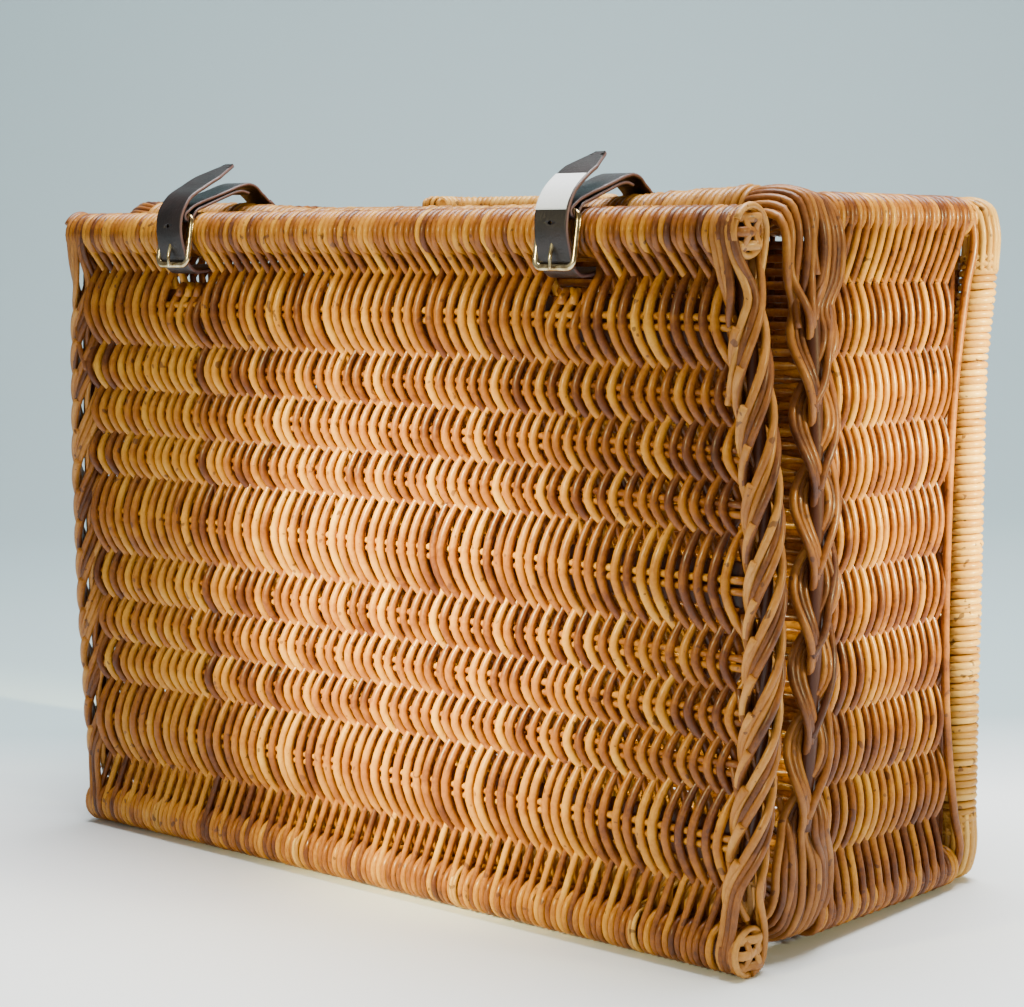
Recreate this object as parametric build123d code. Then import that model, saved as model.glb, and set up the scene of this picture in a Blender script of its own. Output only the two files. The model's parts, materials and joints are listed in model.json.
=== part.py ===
from build123d import *
import math
import os

# A suitcase-shaped hamper of woven round cane, standing on its long hinge side.
# X runs along the hamper, Y from the lid towards the base and Z up.
# The origin is on the floor, under the middle of the whole hamper.
# Every length is in millimetres and every angle in degrees.

# Driving dimensions
LID_ROLL_RADIUS = 16.0        # wrapped roll along the lid's two long edges
LID_ROLL_SPACING = 428.0      # between the axes of the lid's two rolls
LID_HALF_LENGTH = 309.5       # to the outer face of the knots on the roll ends
LID_LEAN = 0.6                # the lid leans back onto the straps
BODY_HALF_LENGTH = 308.0
BODY_HEIGHT = 460.0
BODY_DEPTH = 242.0            # rim plane to the outside of the base rolls
BODY_LEAN = 2.0               # the body stands on its back edge and leans back
BODY_FRONT = 22.0             # rim plane behind the lid's hinge axis, at the floor
WEAVE_THICKNESS = 12.0        # a wall of stakes with a weaver on each side
RUNNING_CLEARANCE = 0.08      # radial, in every pivot
LOOSE_CLEARANCE = 0.3         # between pieces that only lie together

# Body framework
RIM_ROLL_RADIUS = 17.0
CORNER_POST_RADIUS = 14.0
BASE_ROLL_RADIUS = 13.0
RIM_PLAIT_WIDTH = 28.0
RIM_PLAIT_DEPTH = 34.0
PLAIT_END_GAP = 3.0
WALL_RECESS = 10.0            # top and bottom walls lie below their rolls
SIDE_RECESS = 4.0             # side walls lie inside the corner posts
BASE_RECESS = 6.0
BINDING_END_GAP = 0.8
SHEET_GAP = 0.5               # between a woven wall and the rolls along its edges
PLAIT_ROUNDING = 9.0
BINDING_ROUNDING = 6.0
KNOT_ROUNDING = 4.0

# Lid
PANEL_FRONT = -8.0
PANEL_BACK = 6.0
LID_PLAIT_DEPTH = 28.0
LID_PLAIT_INNER = 292.0
LID_PLAIT_END = 303.0
LID_PLAIT_BULGE = 320.0
KNOT_THICKNESS = 6.0
KNOT_RADIUS = 15.0
SLAT_HEIGHT = 28.0
SLAT_THICKNESS = 3.0
SLAT_LEVELS = (66.5, 221.5, 374.0)
SLOT_HALF_WIDTH = 18.0
SLOT_HEIGHT = 23.0

# Hinge: four cane rings round the lid's and the body's bottom rolls
RING_PLACES = (-225.0, -75.0, 75.0, 225.0)
RING_WIDTH = 5.0
RING_OUTER_RADIUS = 15.9
GROOVE_RADIUS = 13.4
GROOVE_WIDTH = 5.8

# Handle
HANDLE_HALF_LENGTH = 72.0
HANDLE_REACH = 38.0
HANDLE_GRIP_RADIUS = 6.5
HANDLE_CORNER_RADIUS = 18.0
HANDLE_PIVOT_DEPTH = 102.0
HANDLE_PIVOT_RISE = 7.0       # above the top wall
HANDLE_PIN_RADIUS = 3.0
HANDLE_EYE_RADIUS = 6.3
HANDLE_EYE_WIDTH = 8.0
LOOP_THICKNESS = 3.0
LOOP_HALF_DEPTH = 3.4

# Straps
STRAP_PLACES = {"left": -176.0, "right": 176.0}
STRAP_WIDTH = 26.0
CHAPE_WIDTH = 24.0
LEATHER = 2.6
BUCKLE_SIDE = 15.3            # from the strap's middle to a side bar's axis
BUCKLE_BAR_RADIUS = 1.7
HEEL_BAR_RADIUS = 1.5
HEEL_BAR = (-12.5, 457.0)     # (y, z) of the bar that the prong turns on
FAR_BAR = (-19.0, 423.5)      # (y, z) of the bar that the prong rests on
CHAPE_LOOP_RADIUS = 4.3
PRONG_WIDTH = 3.4
PRONG_LOOP_RADIUS = 3.3
PRONG_SLOT_WIDTH = 4.6
RIVET_RADIUS = 3.0
RIVET_HEIGHT = 1.0
RIVET_PLACE = 0.12            # part of the way along the chape
TONGUE_POINT_LOW = 484.0      # height at which the tongue's point begins
PRONG_HOLE = (428.5, 445.0)   # heights between which the prong passes the tongue
PRONG_HOLE_WIDTH = 4.8
SPARE_HOLE_HEIGHT = 450.0
SPARE_HOLE_RADIUS = 1.5
PRONG_THICKNESS = 2.2
PAPER = 0.25

# Strap lines, as (y, z) before the hamper is centred on its origin
TONGUE_LOW_LINE = ((13, 421.5), (0, 418.3), (-9, 418.6), (-15.3, 424), (-18.7, 434), (-20.8, 446),
                   (-19.4, 457.5))
TONGUE_LINES = {"left": TONGUE_LOW_LINE + ((-12, 468.5), (4, 477.5), (38, 492)),
                "right": TONGUE_LOW_LINE + ((-13, 468.5), (0, 478.5), (28, 492))}
CHAPE_TOP_LINE = ((-13.5, 460), (-7, 463.8), (2, 467), (14, 470.4), (27, 474.2), (38, 477.4),
                  (46, 478.4), (53, 476), (57.5, 471.8), (61, 469.2))
CHAPE_UNDER_LINE = ((-9.9, 458.6), (-4, 461.1), (4, 463.9), (14, 467.2), (24, 470.4), (33, 473),
                    (39, 473.6), (45, 472))
PRONG_LINE = ((-13.9, 454.4), (-17.0, 446), (-20.4, 436), (-22.5, 429), (-22.6, 422.6))
LABEL_SPAN = (0.52, 0.755)     # part of the right tongue's length under the label

lid_place = Location((0, 0, LID_ROLL_RADIUS), (-LID_LEAN, 0, 0))
lean = math.radians(BODY_LEAN)
body_lift = (BODY_DEPTH - BASE_ROLL_RADIUS) * math.sin(lean) + BASE_ROLL_RADIUS * (1 - math.cos(lean))
body_place = Location((0, BODY_FRONT, body_lift), (-BODY_LEAN, 0, 0))


def block(x_range, y_range, z_range):
    """A box between three pairs of limits."""
    spans = (x_range, y_range, z_range)
    middle = [(low + high) / 2 for low, high in spans]
    return Pos(*middle) * Box(*[high - low for low, high in spans])


def bar_along_x(radius, x_range, y, z):
    length = x_range[1] - x_range[0]
    middle = (x_range[0] + x_range[1]) / 2
    return Pos(middle, y, z) * Rot(0, 90, 0) * Cylinder(radius, length)


def bar_along_y(radius, y_range, x, z):
    length = y_range[1] - y_range[0]
    middle = (y_range[0] + y_range[1]) / 2
    return Pos(x, middle, z) * Rot(90, 0, 0) * Cylinder(radius, length)


def bar_along_z(radius, z_range, x, y):
    length = z_range[1] - z_range[0]
    middle = (z_range[0] + z_range[1]) / 2
    return Pos(x, y, middle) * Cylinder(radius, length)


def ring_along_x(outer, inner, width, x, y, z):
    """A ring whose axis is parallel to X."""
    span = (x - width / 2, x + width / 2)
    return bar_along_x(outer, span, y, z) - bar_along_x(inner, (span[0] - 1, span[1] + 1), y, z)


def mirrored(shape, side):
    return shape if side == "right" else shape.mirror(Plane.YZ)


def ribbon(line, thickness, width, x, span=(0.0, 1.0), lift=0.0, steps=24):
    """A strip that follows a smooth line of (y, z) points, raised by lift off that line."""
    curve = Spline(*line)
    near_side = []
    far_side = []
    for step in range(steps + 1):
        place = span[0] + (span[1] - span[0]) * step / steps
        point = curve @ place
        along = curve % place
        for side, offset in ((near_side, lift - thickness / 2), (far_side, lift + thickness / 2)):
            side.append((point.X - along.Y * offset, point.Y + along.X * offset))
    outline = Polyline(*near_side, *reversed(far_side), close=True)
    return Pos(x - width / 2, 0, 0) * extrude(Plane.YZ * make_face(outline), amount=width)


# Body of the hamper, made upright with y as depth behind the rim, then leaned back

def rim_roll(z):
    """Bound roll along one long side of the rim."""
    reach = BODY_HALF_LENGTH + SIDE_RECESS - RIM_PLAIT_WIDTH - LOOSE_CLEARANCE
    return bar_along_x(RIM_ROLL_RADIUS, (-reach, reach), RIM_ROLL_RADIUS, z)


def rim_plait(side):
    """Plaited border along one short side of the rim."""
    outer = BODY_HALF_LENGTH + SIDE_RECESS
    ends = (PLAIT_END_GAP, BODY_HEIGHT - PLAIT_END_GAP)
    border = block((outer - RIM_PLAIT_WIDTH, outer), (1, 1 + RIM_PLAIT_DEPTH), ends)
    border = fillet(border.edges().filter_by(Axis.Z), PLAIT_ROUNDING)
    return mirrored(border, side)


def side_wall(side):
    outer = BODY_HALF_LENGTH - SIDE_RECESS
    post_height = 2 * CORNER_POST_RADIUS + LOOSE_CLEARANCE
    wall = block((outer - WEAVE_THICKNESS, outer), (RIM_PLAIT_DEPTH + 2, base_front() - SHEET_GAP),
                 (post_height, BODY_HEIGHT - post_height))
    return mirrored(wall, side)


def base_front():
    """Depth at which the base's rolls begin."""
    return BODY_DEPTH - 2 * BASE_ROLL_RADIUS


def long_wall(z_low):
    """Top or bottom wall, with its lower face at z_low."""
    reach = BODY_HALF_LENGTH - 2 * CORNER_POST_RADIUS - 1
    return block((-reach, reach), (2 * RIM_ROLL_RADIUS + SHEET_GAP, base_front() - SHEET_GAP),
                 (z_low, z_low + WEAVE_THICKNESS))


def corner_post(side, z):
    """Thick rod that the weavers turn round at one long corner of the body."""
    middle = BODY_HALF_LENGTH - CORNER_POST_RADIUS
    post = bar_along_y(CORNER_POST_RADIUS, (RIM_PLAIT_DEPTH + 2, base_front() - SHEET_GAP), middle, z)
    return mirrored(post, side)


def base_roll(z):
    reach = BODY_HALF_LENGTH - 2 * BASE_ROLL_RADIUS - LOOSE_CLEARANCE
    return bar_along_x(BASE_ROLL_RADIUS, (-reach, reach), BODY_DEPTH - BASE_ROLL_RADIUS, z)


def base_binding(side):
    """Upright roll bound with pale cane along one short side of the base."""
    middle = BODY_HALF_LENGTH - BASE_ROLL_RADIUS
    roll = bar_along_z(BASE_ROLL_RADIUS, (BINDING_END_GAP, BODY_HEIGHT - BINDING_END_GAP), middle,
                       BODY_DEPTH - BASE_ROLL_RADIUS)
    roll = fillet(roll.edges().filter_by(GeomType.CIRCLE), BINDING_ROUNDING)
    return mirrored(roll, side)


def base_panel():
    reach = BODY_HALF_LENGTH - 2 * BASE_ROLL_RADIUS - LOOSE_CLEARANCE
    edge = 2 * BASE_ROLL_RADIUS + LOOSE_CLEARANCE
    outer = BODY_DEPTH - BASE_RECESS
    return block((-reach, reach), (outer - WEAVE_THICKNESS, outer), (edge, BODY_HEIGHT - edge))


def strap_anchor(x):
    """Leather that comes out of the body behind the rim roll and lies on its back."""
    radius = RIM_ROLL_RADIUS + LOOSE_CLEARANCE + LEATHER / 2
    turns = (-28, -8, 12, 32, 50, 62)
    line = [(RIM_ROLL_RADIUS + radius * math.cos(math.radians(turn)),
             BODY_HEIGHT - RIM_ROLL_RADIUS + radius * math.sin(math.radians(turn))) for turn in turns]
    return ribbon(line, LEATHER, STRAP_WIDTH, x)


def slotted_top_wall():
    """The top wall, cut where the two straps come up through it."""
    wall = long_wall(BODY_HEIGHT - WALL_RECESS - WEAVE_THICKNESS)
    for x in STRAP_PLACES.values():
        half = STRAP_WIDTH / 2 + 1
        front = 2 * RIM_ROLL_RADIUS
        wall -= block((x - half, x + half), (front, front + 6), (0, BODY_HEIGHT))
    return wall


# Handle, folded back on the top wall

handle_z = BODY_HEIGHT - WALL_RECESS + HANDLE_PIVOT_RISE


def handle_loops():
    """Two cane staples on the top wall, each with a crosswise pin for one end of the handle."""
    loops = []
    foot_bottom = BODY_HEIGHT - WALL_RECESS
    for x in (-HANDLE_HALF_LENGTH, HANDLE_HALF_LENGTH):
        inner = HANDLE_EYE_WIDTH / 2 + 1
        outer = inner + LOOP_THICKNESS
        loop = bar_along_x(HANDLE_PIN_RADIUS, (x - outer, x + outer), HANDLE_PIVOT_DEPTH, handle_z)
        for low, high in ((x - outer, x - inner), (x + inner, x + outer)):
            depths = (HANDLE_PIVOT_DEPTH - LOOP_HALF_DEPTH, HANDLE_PIVOT_DEPTH + LOOP_HALF_DEPTH)
            loop += block((low, high), depths, (foot_bottom, handle_z + LOOP_HALF_DEPTH))
        loops.append(loop)
    return Compound(loops)


def handle():
    """Cane-bound bail: a grip, two arms and an eye at each end."""
    start = HANDLE_PIVOT_DEPTH + HANDLE_EYE_RADIUS - 1
    far = HANDLE_PIVOT_DEPTH + HANDLE_REACH
    reach = HANDLE_HALF_LENGTH
    corners = ((-reach, start, handle_z), (-reach, far, handle_z), (reach, far, handle_z),
               (reach, start, handle_z))
    path = FilletPolyline(*corners, radius=HANDLE_CORNER_RADIUS)
    section = Plane(origin=corners[0], z_dir=(0, 1, 0)) * Circle(HANDLE_GRIP_RADIUS)
    bail = sweep(section, path=path)
    for x in (-reach, reach):
        bail += ring_along_x(HANDLE_EYE_RADIUS, HANDLE_PIN_RADIUS + RUNNING_CLEARANCE,
                             HANDLE_EYE_WIDTH, x, HANDLE_PIVOT_DEPTH, handle_z)
    return bail


# Lid, made upright with z measured from its hinge axis, then leaned back

def lid_roll(z):
    reach = LID_HALF_LENGTH - KNOT_THICKNESS
    return bar_along_x(LID_ROLL_RADIUS, (-reach, reach), 0, z)


def ring_grooves(y, z):
    """Rings of space in which the hinge rings lie round a roll."""
    grooves = []
    for x in RING_PLACES:
        grooves.append(ring_along_x(RIM_ROLL_RADIUS + 1, GROOVE_RADIUS, GROOVE_WIDTH, x, y, z))
    return grooves


def roll_knots():
    """Cross-woven knots that close the four ends of the lid's rolls."""
    knots = []
    for z in (0, LID_ROLL_SPACING):
        knot = bar_along_x(KNOT_RADIUS, (LID_HALF_LENGTH - KNOT_THICKNESS, LID_HALF_LENGTH), 0, z)
        knot = fillet(knot.edges().group_by(Axis.X)[-1], KNOT_ROUNDING)
        knots += [knot, mirrored(knot, "left")]
    return Compound(knots)


def lid_panel():
    """Woven sheet between the rolls, with a slot for each strap and room for the slats."""
    edge = LID_ROLL_RADIUS + LOOSE_CLEARANCE
    top = LID_ROLL_SPACING - edge
    reach = LID_PLAIT_INNER - LOOSE_CLEARANCE
    panel = block((-reach, reach), (PANEL_FRONT, PANEL_BACK), (edge, top))
    for x in STRAP_PLACES.values():
        panel -= block((x - SLOT_HALF_WIDTH, x + SLOT_HALF_WIDTH), (PANEL_FRONT - 1, PANEL_BACK + 1),
                       (top - SLOT_HEIGHT, top + 1))
    for x in RING_PLACES:
        half = GROOVE_WIDTH / 2
        panel -= block((x - half, x + half), (0, PANEL_BACK + 1), (edge - 1, edge + 4))
    return panel - lid_slats()


def lid_slats():
    """Flat slats that stiffen the three tall rows of the weave."""
    middle = (PANEL_FRONT + PANEL_BACK) / 2
    reach = LID_PLAIT_INNER - LOOSE_CLEARANCE - 4
    slats = []
    for level in SLAT_LEVELS:
        slats.append(block((-reach, reach), (middle - SLAT_THICKNESS / 2, middle + SLAT_THICKNESS / 2),
                           (level - SLAT_HEIGHT / 2, level + SLAT_HEIGHT / 2)))
    return Compound(slats)


def lid_plait(side):
    """Plaited border of one short side, bowed outwards between the rolls."""
    low = LID_ROLL_RADIUS + 1
    high = LID_ROLL_SPACING - low
    with BuildSketch(Plane.XZ) as outline:
        with BuildLine():
            ThreePointArc((LID_PLAIT_END, low), (LID_PLAIT_BULGE, (low + high) / 2),
                          (LID_PLAIT_END, high))
            Polyline((LID_PLAIT_END, high), (LID_PLAIT_INNER, high), (LID_PLAIT_INNER, low),
                     (LID_PLAIT_END, low))
        make_face()
    border = extrude(outline.sketch, amount=LID_PLAIT_DEPTH / 2, both=True)
    return mirrored(border, side)


# Straps

def tongue(x, line):
    """Pointed strap end that comes out of the lid's slot and through the buckle."""
    strap = ribbon(line, LEATHER, STRAP_WIDTH, x, steps=48)
    point_low = TONGUE_POINT_LOW
    tip = line[-1][1] + LEATHER
    with BuildSketch(Plane.XZ) as point_cut:
        for side in (-1, 1):
            with BuildLine():
                Polyline((x + side * STRAP_WIDTH, point_low), (x + side * STRAP_WIDTH, tip),
                         (x + side * 4, tip), (x + side * STRAP_WIDTH / 2, point_low), close=True)
            make_face()
    strap -= extrude(point_cut.sketch, amount=60, both=True)
    half = PRONG_HOLE_WIDTH / 2
    strap -= block((x - half, x + half), (-26, -15), PRONG_HOLE)
    return strap - bar_along_y(SPARE_HOLE_RADIUS, (-26, -12), x, SPARE_HOLE_HEIGHT)


def paper_label(x, line):
    """Blank paper label stuck on the outer face of a tongue."""
    return ribbon(line, PAPER, STRAP_WIDTH - 2, x, span=LABEL_SPAN,
                  lift=LEATHER / 2 + PAPER / 2 + 0.02)


def chape(x):
    """Doubled strap that holds the buckle and runs back over both rolls."""
    loop = ring_along_x(CHAPE_LOOP_RADIUS, HEEL_BAR_RADIUS + RUNNING_CLEARANCE, CHAPE_WIDTH, x,
                        *HEEL_BAR)
    strap = loop + ribbon(CHAPE_TOP_LINE, LEATHER, CHAPE_WIDTH, x)
    strap += ribbon(CHAPE_UNDER_LINE, LEATHER, CHAPE_WIDTH, x)
    strap -= bar_along_x(HEEL_BAR_RADIUS + RUNNING_CLEARANCE, (x - CHAPE_WIDTH, x + CHAPE_WIDTH),
                         *HEEL_BAR)
    half = PRONG_SLOT_WIDTH / 2
    return strap - block((x - half, x + half), (-19, -7.5), (450, 462))


def buckle_frame(x):
    """Brass frame of four round bars with rounded corners."""
    sides = ((HEEL_BAR, HEEL_BAR_RADIUS), (FAR_BAR, BUCKLE_BAR_RADIUS))
    frame = None
    for (y, z), radius in sides:
        rail = bar_along_x(radius, (x - BUCKLE_SIDE, x + BUCKLE_SIDE), y, z)
        frame = rail if frame is None else frame + rail
    length = math.dist(HEEL_BAR, FAR_BAR)
    tilt = math.degrees(math.atan2(HEEL_BAR[0] - FAR_BAR[0], HEEL_BAR[1] - FAR_BAR[1]))
    middle = [(heel + far) / 2 for heel, far in zip(HEEL_BAR, FAR_BAR)]
    for side_x in (x - BUCKLE_SIDE, x + BUCKLE_SIDE):
        frame += Location((side_x, *middle), (-tilt, 0, 0)) * Cylinder(BUCKLE_BAR_RADIUS, length)
        for y, z in (HEEL_BAR, FAR_BAR):
            frame += Pos(side_x, y, z) * Sphere(BUCKLE_BAR_RADIUS)
    return frame


def prong(x):
    loop = ring_along_x(PRONG_LOOP_RADIUS, HEEL_BAR_RADIUS + RUNNING_CLEARANCE, PRONG_WIDTH, x,
                        *HEEL_BAR)
    pin = loop + ribbon(PRONG_LINE, PRONG_THICKNESS, PRONG_WIDTH - 0.4, x)
    return pin - bar_along_x(HEEL_BAR_RADIUS + RUNNING_CLEARANCE, (x - 3, x + 3), *HEEL_BAR)


def chape_rivet(x):
    """Domed rivet through the doubled part of the chape, seen from above."""
    curve = Spline(*CHAPE_TOP_LINE)
    point = curve @ RIVET_PLACE
    along = curve % RIVET_PLACE
    slope = math.degrees(math.atan2(along.Y, along.X))
    rise = LEATHER / 2 + RIVET_HEIGHT / 2 + 0.05
    rivet = fillet(Cylinder(RIVET_RADIUS, RIVET_HEIGHT).edges().group_by(Axis.Z)[-1], 0.6)
    place = Location((x, point.X - along.Y * rise, point.Y + along.X * rise), (slope, 0, 0))
    return place * rivet


# Hinge rings, which join the upright lid and the leaning body

def hinge_rings():
    roll = body_place * Location((0, RIM_ROLL_RADIUS, RIM_ROLL_RADIUS))
    lid_axis = (0, LID_ROLL_RADIUS)
    body_axis = (roll.position.Y, roll.position.Z)
    spacing = math.dist(lid_axis, body_axis)
    slope = math.degrees(math.atan2(body_axis[1] - lid_axis[1], body_axis[0] - lid_axis[0]))
    middle = [(a + b) / 2 for a, b in zip(lid_axis, body_axis)]
    inner_radius = GROOVE_RADIUS + RUNNING_CLEARANCE
    outline = SlotCenterToCenter(spacing, 2 * RING_OUTER_RADIUS)
    outline -= SlotCenterToCenter(spacing, 2 * inner_radius)
    face = Plane.YZ * (Pos(*middle) * Rot(0, 0, slope) * outline)
    rings = []
    for x in RING_PLACES:
        rings.append(Pos(x - RING_WIDTH / 2, 0, 0) * extrude(face, amount=RING_WIDTH))
    return Compound(rings)


def body_nodes():
    """Every woven piece of the body, upright."""
    nodes = {"base_panel": base_panel(), "top_wall": slotted_top_wall(),
             "bottom_wall": long_wall(WALL_RECESS)}
    top_roll = BODY_HEIGHT - RIM_ROLL_RADIUS
    nodes["rim_roll_top"] = rim_roll(top_roll)
    bottom_roll = rim_roll(RIM_ROLL_RADIUS)
    for groove in ring_grooves(RIM_ROLL_RADIUS, RIM_ROLL_RADIUS):
        bottom_roll -= groove
    nodes["rim_roll_bottom"] = bottom_roll
    nodes["base_roll_top"] = base_roll(BODY_HEIGHT - BASE_ROLL_RADIUS)
    nodes["base_roll_bottom"] = base_roll(BASE_ROLL_RADIUS)
    for side in ("left", "right"):
        nodes["side_wall_" + side] = side_wall(side)
        nodes["rim_plait_" + side] = rim_plait(side)
        nodes["base_binding_" + side] = base_binding(side)
        nodes["corner_post_top_" + side] = corner_post(side, BODY_HEIGHT - CORNER_POST_RADIUS)
        nodes["corner_post_bottom_" + side] = corner_post(side, CORNER_POST_RADIUS)
        nodes["strap_anchor_" + side] = strap_anchor(STRAP_PLACES[side])
    nodes["handle_loops"] = handle_loops()
    nodes["handle"] = handle()
    return nodes


def lid_nodes():
    """Every woven piece of the lid, upright."""
    bottom_roll = lid_roll(0)
    for groove in ring_grooves(0, 0):
        bottom_roll -= groove
    nodes = {"lid_panel": lid_panel(), "lid_slats": lid_slats(), "lid_roll_knots": roll_knots(),
             "lid_roll_bottom": bottom_roll, "lid_roll_top": lid_roll(LID_ROLL_SPACING)}
    for side in ("left", "right"):
        nodes["lid_plait_" + side] = lid_plait(side)
    return nodes


def strap_nodes():
    """Both buckled straps, the label and the hinge rings, where they lie."""
    nodes = {"hinge_rings": hinge_rings(),
             "paper_label": paper_label(STRAP_PLACES["right"], TONGUE_LINES["right"])}
    for side, x in STRAP_PLACES.items():
        nodes["tongue_" + side] = tongue(x, TONGUE_LINES[side])
        nodes["chape_" + side] = chape(x)
        nodes["buckle_frame_" + side] = buckle_frame(x)
        nodes["prong_" + side] = prong(x)
        nodes["chape_rivet_" + side] = chape_rivet(x)
    return nodes


def all_nodes():
    """Every sub-part in its place, with the origin under the middle of the hamper."""
    nodes = {name: body_place * shape for name, shape in body_nodes().items()}
    nodes.update({name: lid_place * shape for name, shape in lid_nodes().items()})
    nodes.update(strap_nodes())
    box = Compound(list(nodes.values())).bounding_box()
    centre = Pos(0, -(box.min.Y + box.max.Y) / 2, 0)
    print("hinge axis: y", round(centre.position.Y, 3), "z", LID_ROLL_RADIUS)
    return {name: centre * shape for name, shape in nodes.items()}


os.makedirs("parts", exist_ok=True)
for node_name, node_shape in all_nodes().items():
    export_step(node_shape, "parts/" + node_name + ".step")
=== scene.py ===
import json
import math

import bpy
import numpy as np
from mathutils import Matrix, Vector


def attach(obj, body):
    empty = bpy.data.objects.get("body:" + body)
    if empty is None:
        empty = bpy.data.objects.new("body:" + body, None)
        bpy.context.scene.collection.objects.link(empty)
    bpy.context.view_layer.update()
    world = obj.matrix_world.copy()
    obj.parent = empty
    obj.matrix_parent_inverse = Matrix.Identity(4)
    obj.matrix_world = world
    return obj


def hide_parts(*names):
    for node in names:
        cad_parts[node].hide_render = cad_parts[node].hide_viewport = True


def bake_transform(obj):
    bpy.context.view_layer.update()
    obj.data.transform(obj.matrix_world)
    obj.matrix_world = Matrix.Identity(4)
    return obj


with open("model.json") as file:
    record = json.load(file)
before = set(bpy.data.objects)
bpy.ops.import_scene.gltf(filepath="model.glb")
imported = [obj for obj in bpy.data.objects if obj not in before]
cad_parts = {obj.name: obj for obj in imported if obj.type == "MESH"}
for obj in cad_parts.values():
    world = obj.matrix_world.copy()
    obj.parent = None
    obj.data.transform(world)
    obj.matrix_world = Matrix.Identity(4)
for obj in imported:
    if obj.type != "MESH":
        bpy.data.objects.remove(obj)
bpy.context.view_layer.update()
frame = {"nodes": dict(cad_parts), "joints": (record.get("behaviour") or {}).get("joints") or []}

# A suitcase-shaped hamper of woven cane. Shapes are worked out in millimetres, upright, in the
# lid's own space (x, y, height above the hinge axis), the body's own space (x, depth behind the
# rim, height above its bottom edge) or, for the straps, leaning as they are (x, y behind the
# hinge axis, height above the floor). Each is then placed in the frame, in metres.

MM = 0.001
random = np.random.default_rng(1907)
joints = {joint["name"]: joint for joint in frame["joints"]}
HINGE = Vector(joints["lid_hinge"]["pos_m"])

LID_LEAN = math.radians(0.6)
BODY_LEAN = math.radians(2.0)
BODY_FRONT = 22.0
BODY_DEPTH = 242.0
BODY_HEIGHT = 460.0
BASE_ROLL = 13.0
BODY_LIFT = (BODY_DEPTH - BASE_ROLL) * math.sin(BODY_LEAN) + BASE_ROLL * (1 - math.cos(BODY_LEAN))

lid_place = Matrix.Translation(HINGE) @ Matrix.Rotation(-LID_LEAN, 4, "X")
strap_place = Matrix.Translation((0, HINGE.y, 0))
body_origin = Vector((0, HINGE.y + BODY_FRONT * MM, BODY_LIFT * MM))
body_place = Matrix.Translation(body_origin) @ Matrix.Rotation(-BODY_LEAN, 4, "X")

CANE = 2.4                    # radius of the round weaving cane
PITCH = 4.7                   # between neighbouring weavers
STAKE = 2.1                   # radius of the thin stakes that the weavers pass over
STAKE_SPREAD = 2.8            # each stake of a pair lies this far from the middle of its row
WALL_SWING = 5.4              # how far a weaver stands off the middle of a wall
SLANT = 3.0                   # how far a weaver slants sideways along one row

SIGNS = {"left": -1, "right": 1}
ALONG_X = (1.0, 0.0, 0.0)
ALONG_Y = (0.0, 1.0, 0.0)
ALONG_Z = (0.0, 0.0, 1.0)


# Curves

def distances(path):
    """How far along a path each of its points lies."""
    return np.concatenate(([0.0], np.cumsum(np.linalg.norm(np.diff(path, axis=0), axis=1))))


def directions(path, closed=False):
    """Unit vectors along a path at each of its points."""
    if closed:
        along = np.roll(path, -1, axis=0) - np.roll(path, 1, axis=0)
    else:
        along = np.gradient(path, axis=0)
    return along / np.linalg.norm(along, axis=1)[:, None]


def full_turn(steps):
    return np.linspace(0, 2 * math.pi, steps, endpoint=False)


def curve_through(points, step=3.0):
    """Points about one step apart along a smooth curve through the given ones."""
    points = np.asarray(points, float)
    lengths = np.linalg.norm(np.diff(points, axis=0), axis=1)
    knots = distances(points)
    slopes = np.gradient(points, knots, axis=0)
    count = max(2, round(knots[-1] / step)) + 1
    place = np.linspace(0, knots[-1], count)
    span = np.clip(np.searchsorted(knots, place, side="right") - 1, 0, len(points) - 2)
    length = lengths[span][:, None]
    t = (place - knots[span])[:, None] / length
    return ((2 * t**3 - 3 * t**2 + 1) * points[span] + (t**3 - 2 * t**2 + t) * length * slopes[span]
            + (3 * t**2 - 2 * t**3) * points[span + 1] + (t**3 - t**2) * length * slopes[span + 1])


def arc(centre, radius, start, end, steps):
    """Points (a, b) on a circle, from start to end in degrees."""
    turn = np.radians(np.linspace(start, end, steps))
    return np.stack((centre[0] + radius * np.cos(turn), centre[1] + radius * np.sin(turn)), axis=-1)


def ease(t):
    t = np.clip(t, 0, 1)
    return t * t * (3 - 2 * t)


def mirrored(path):
    return path * np.array((-1.0, 1.0, 1.0))


# Mesh building

PAINTED_SHADOW_CORE = (-0.9, 0.5, 0.0)       # painted shadow: the dark finish of a core that shows only as shadow between canes


def fresh_finish():
    """Tone, shade and starting length of a new cane, which its material reads."""
    return random.random(), random.random(), random.random() * 1000


def tube_faces(rings, sides, closed=False):
    """Quads between each ring of a tube and the next one."""
    i = np.arange(rings if closed else rings - 1)[:, None]
    j = np.arange(sides)[None, :]
    after = (i + 1) % rings
    beside = (j + 1) % sides
    return np.stack((i * sides + j, after * sides + j, after * sides + beside,
                     i * sides + beside), axis=-1).reshape(-1, 4)


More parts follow.
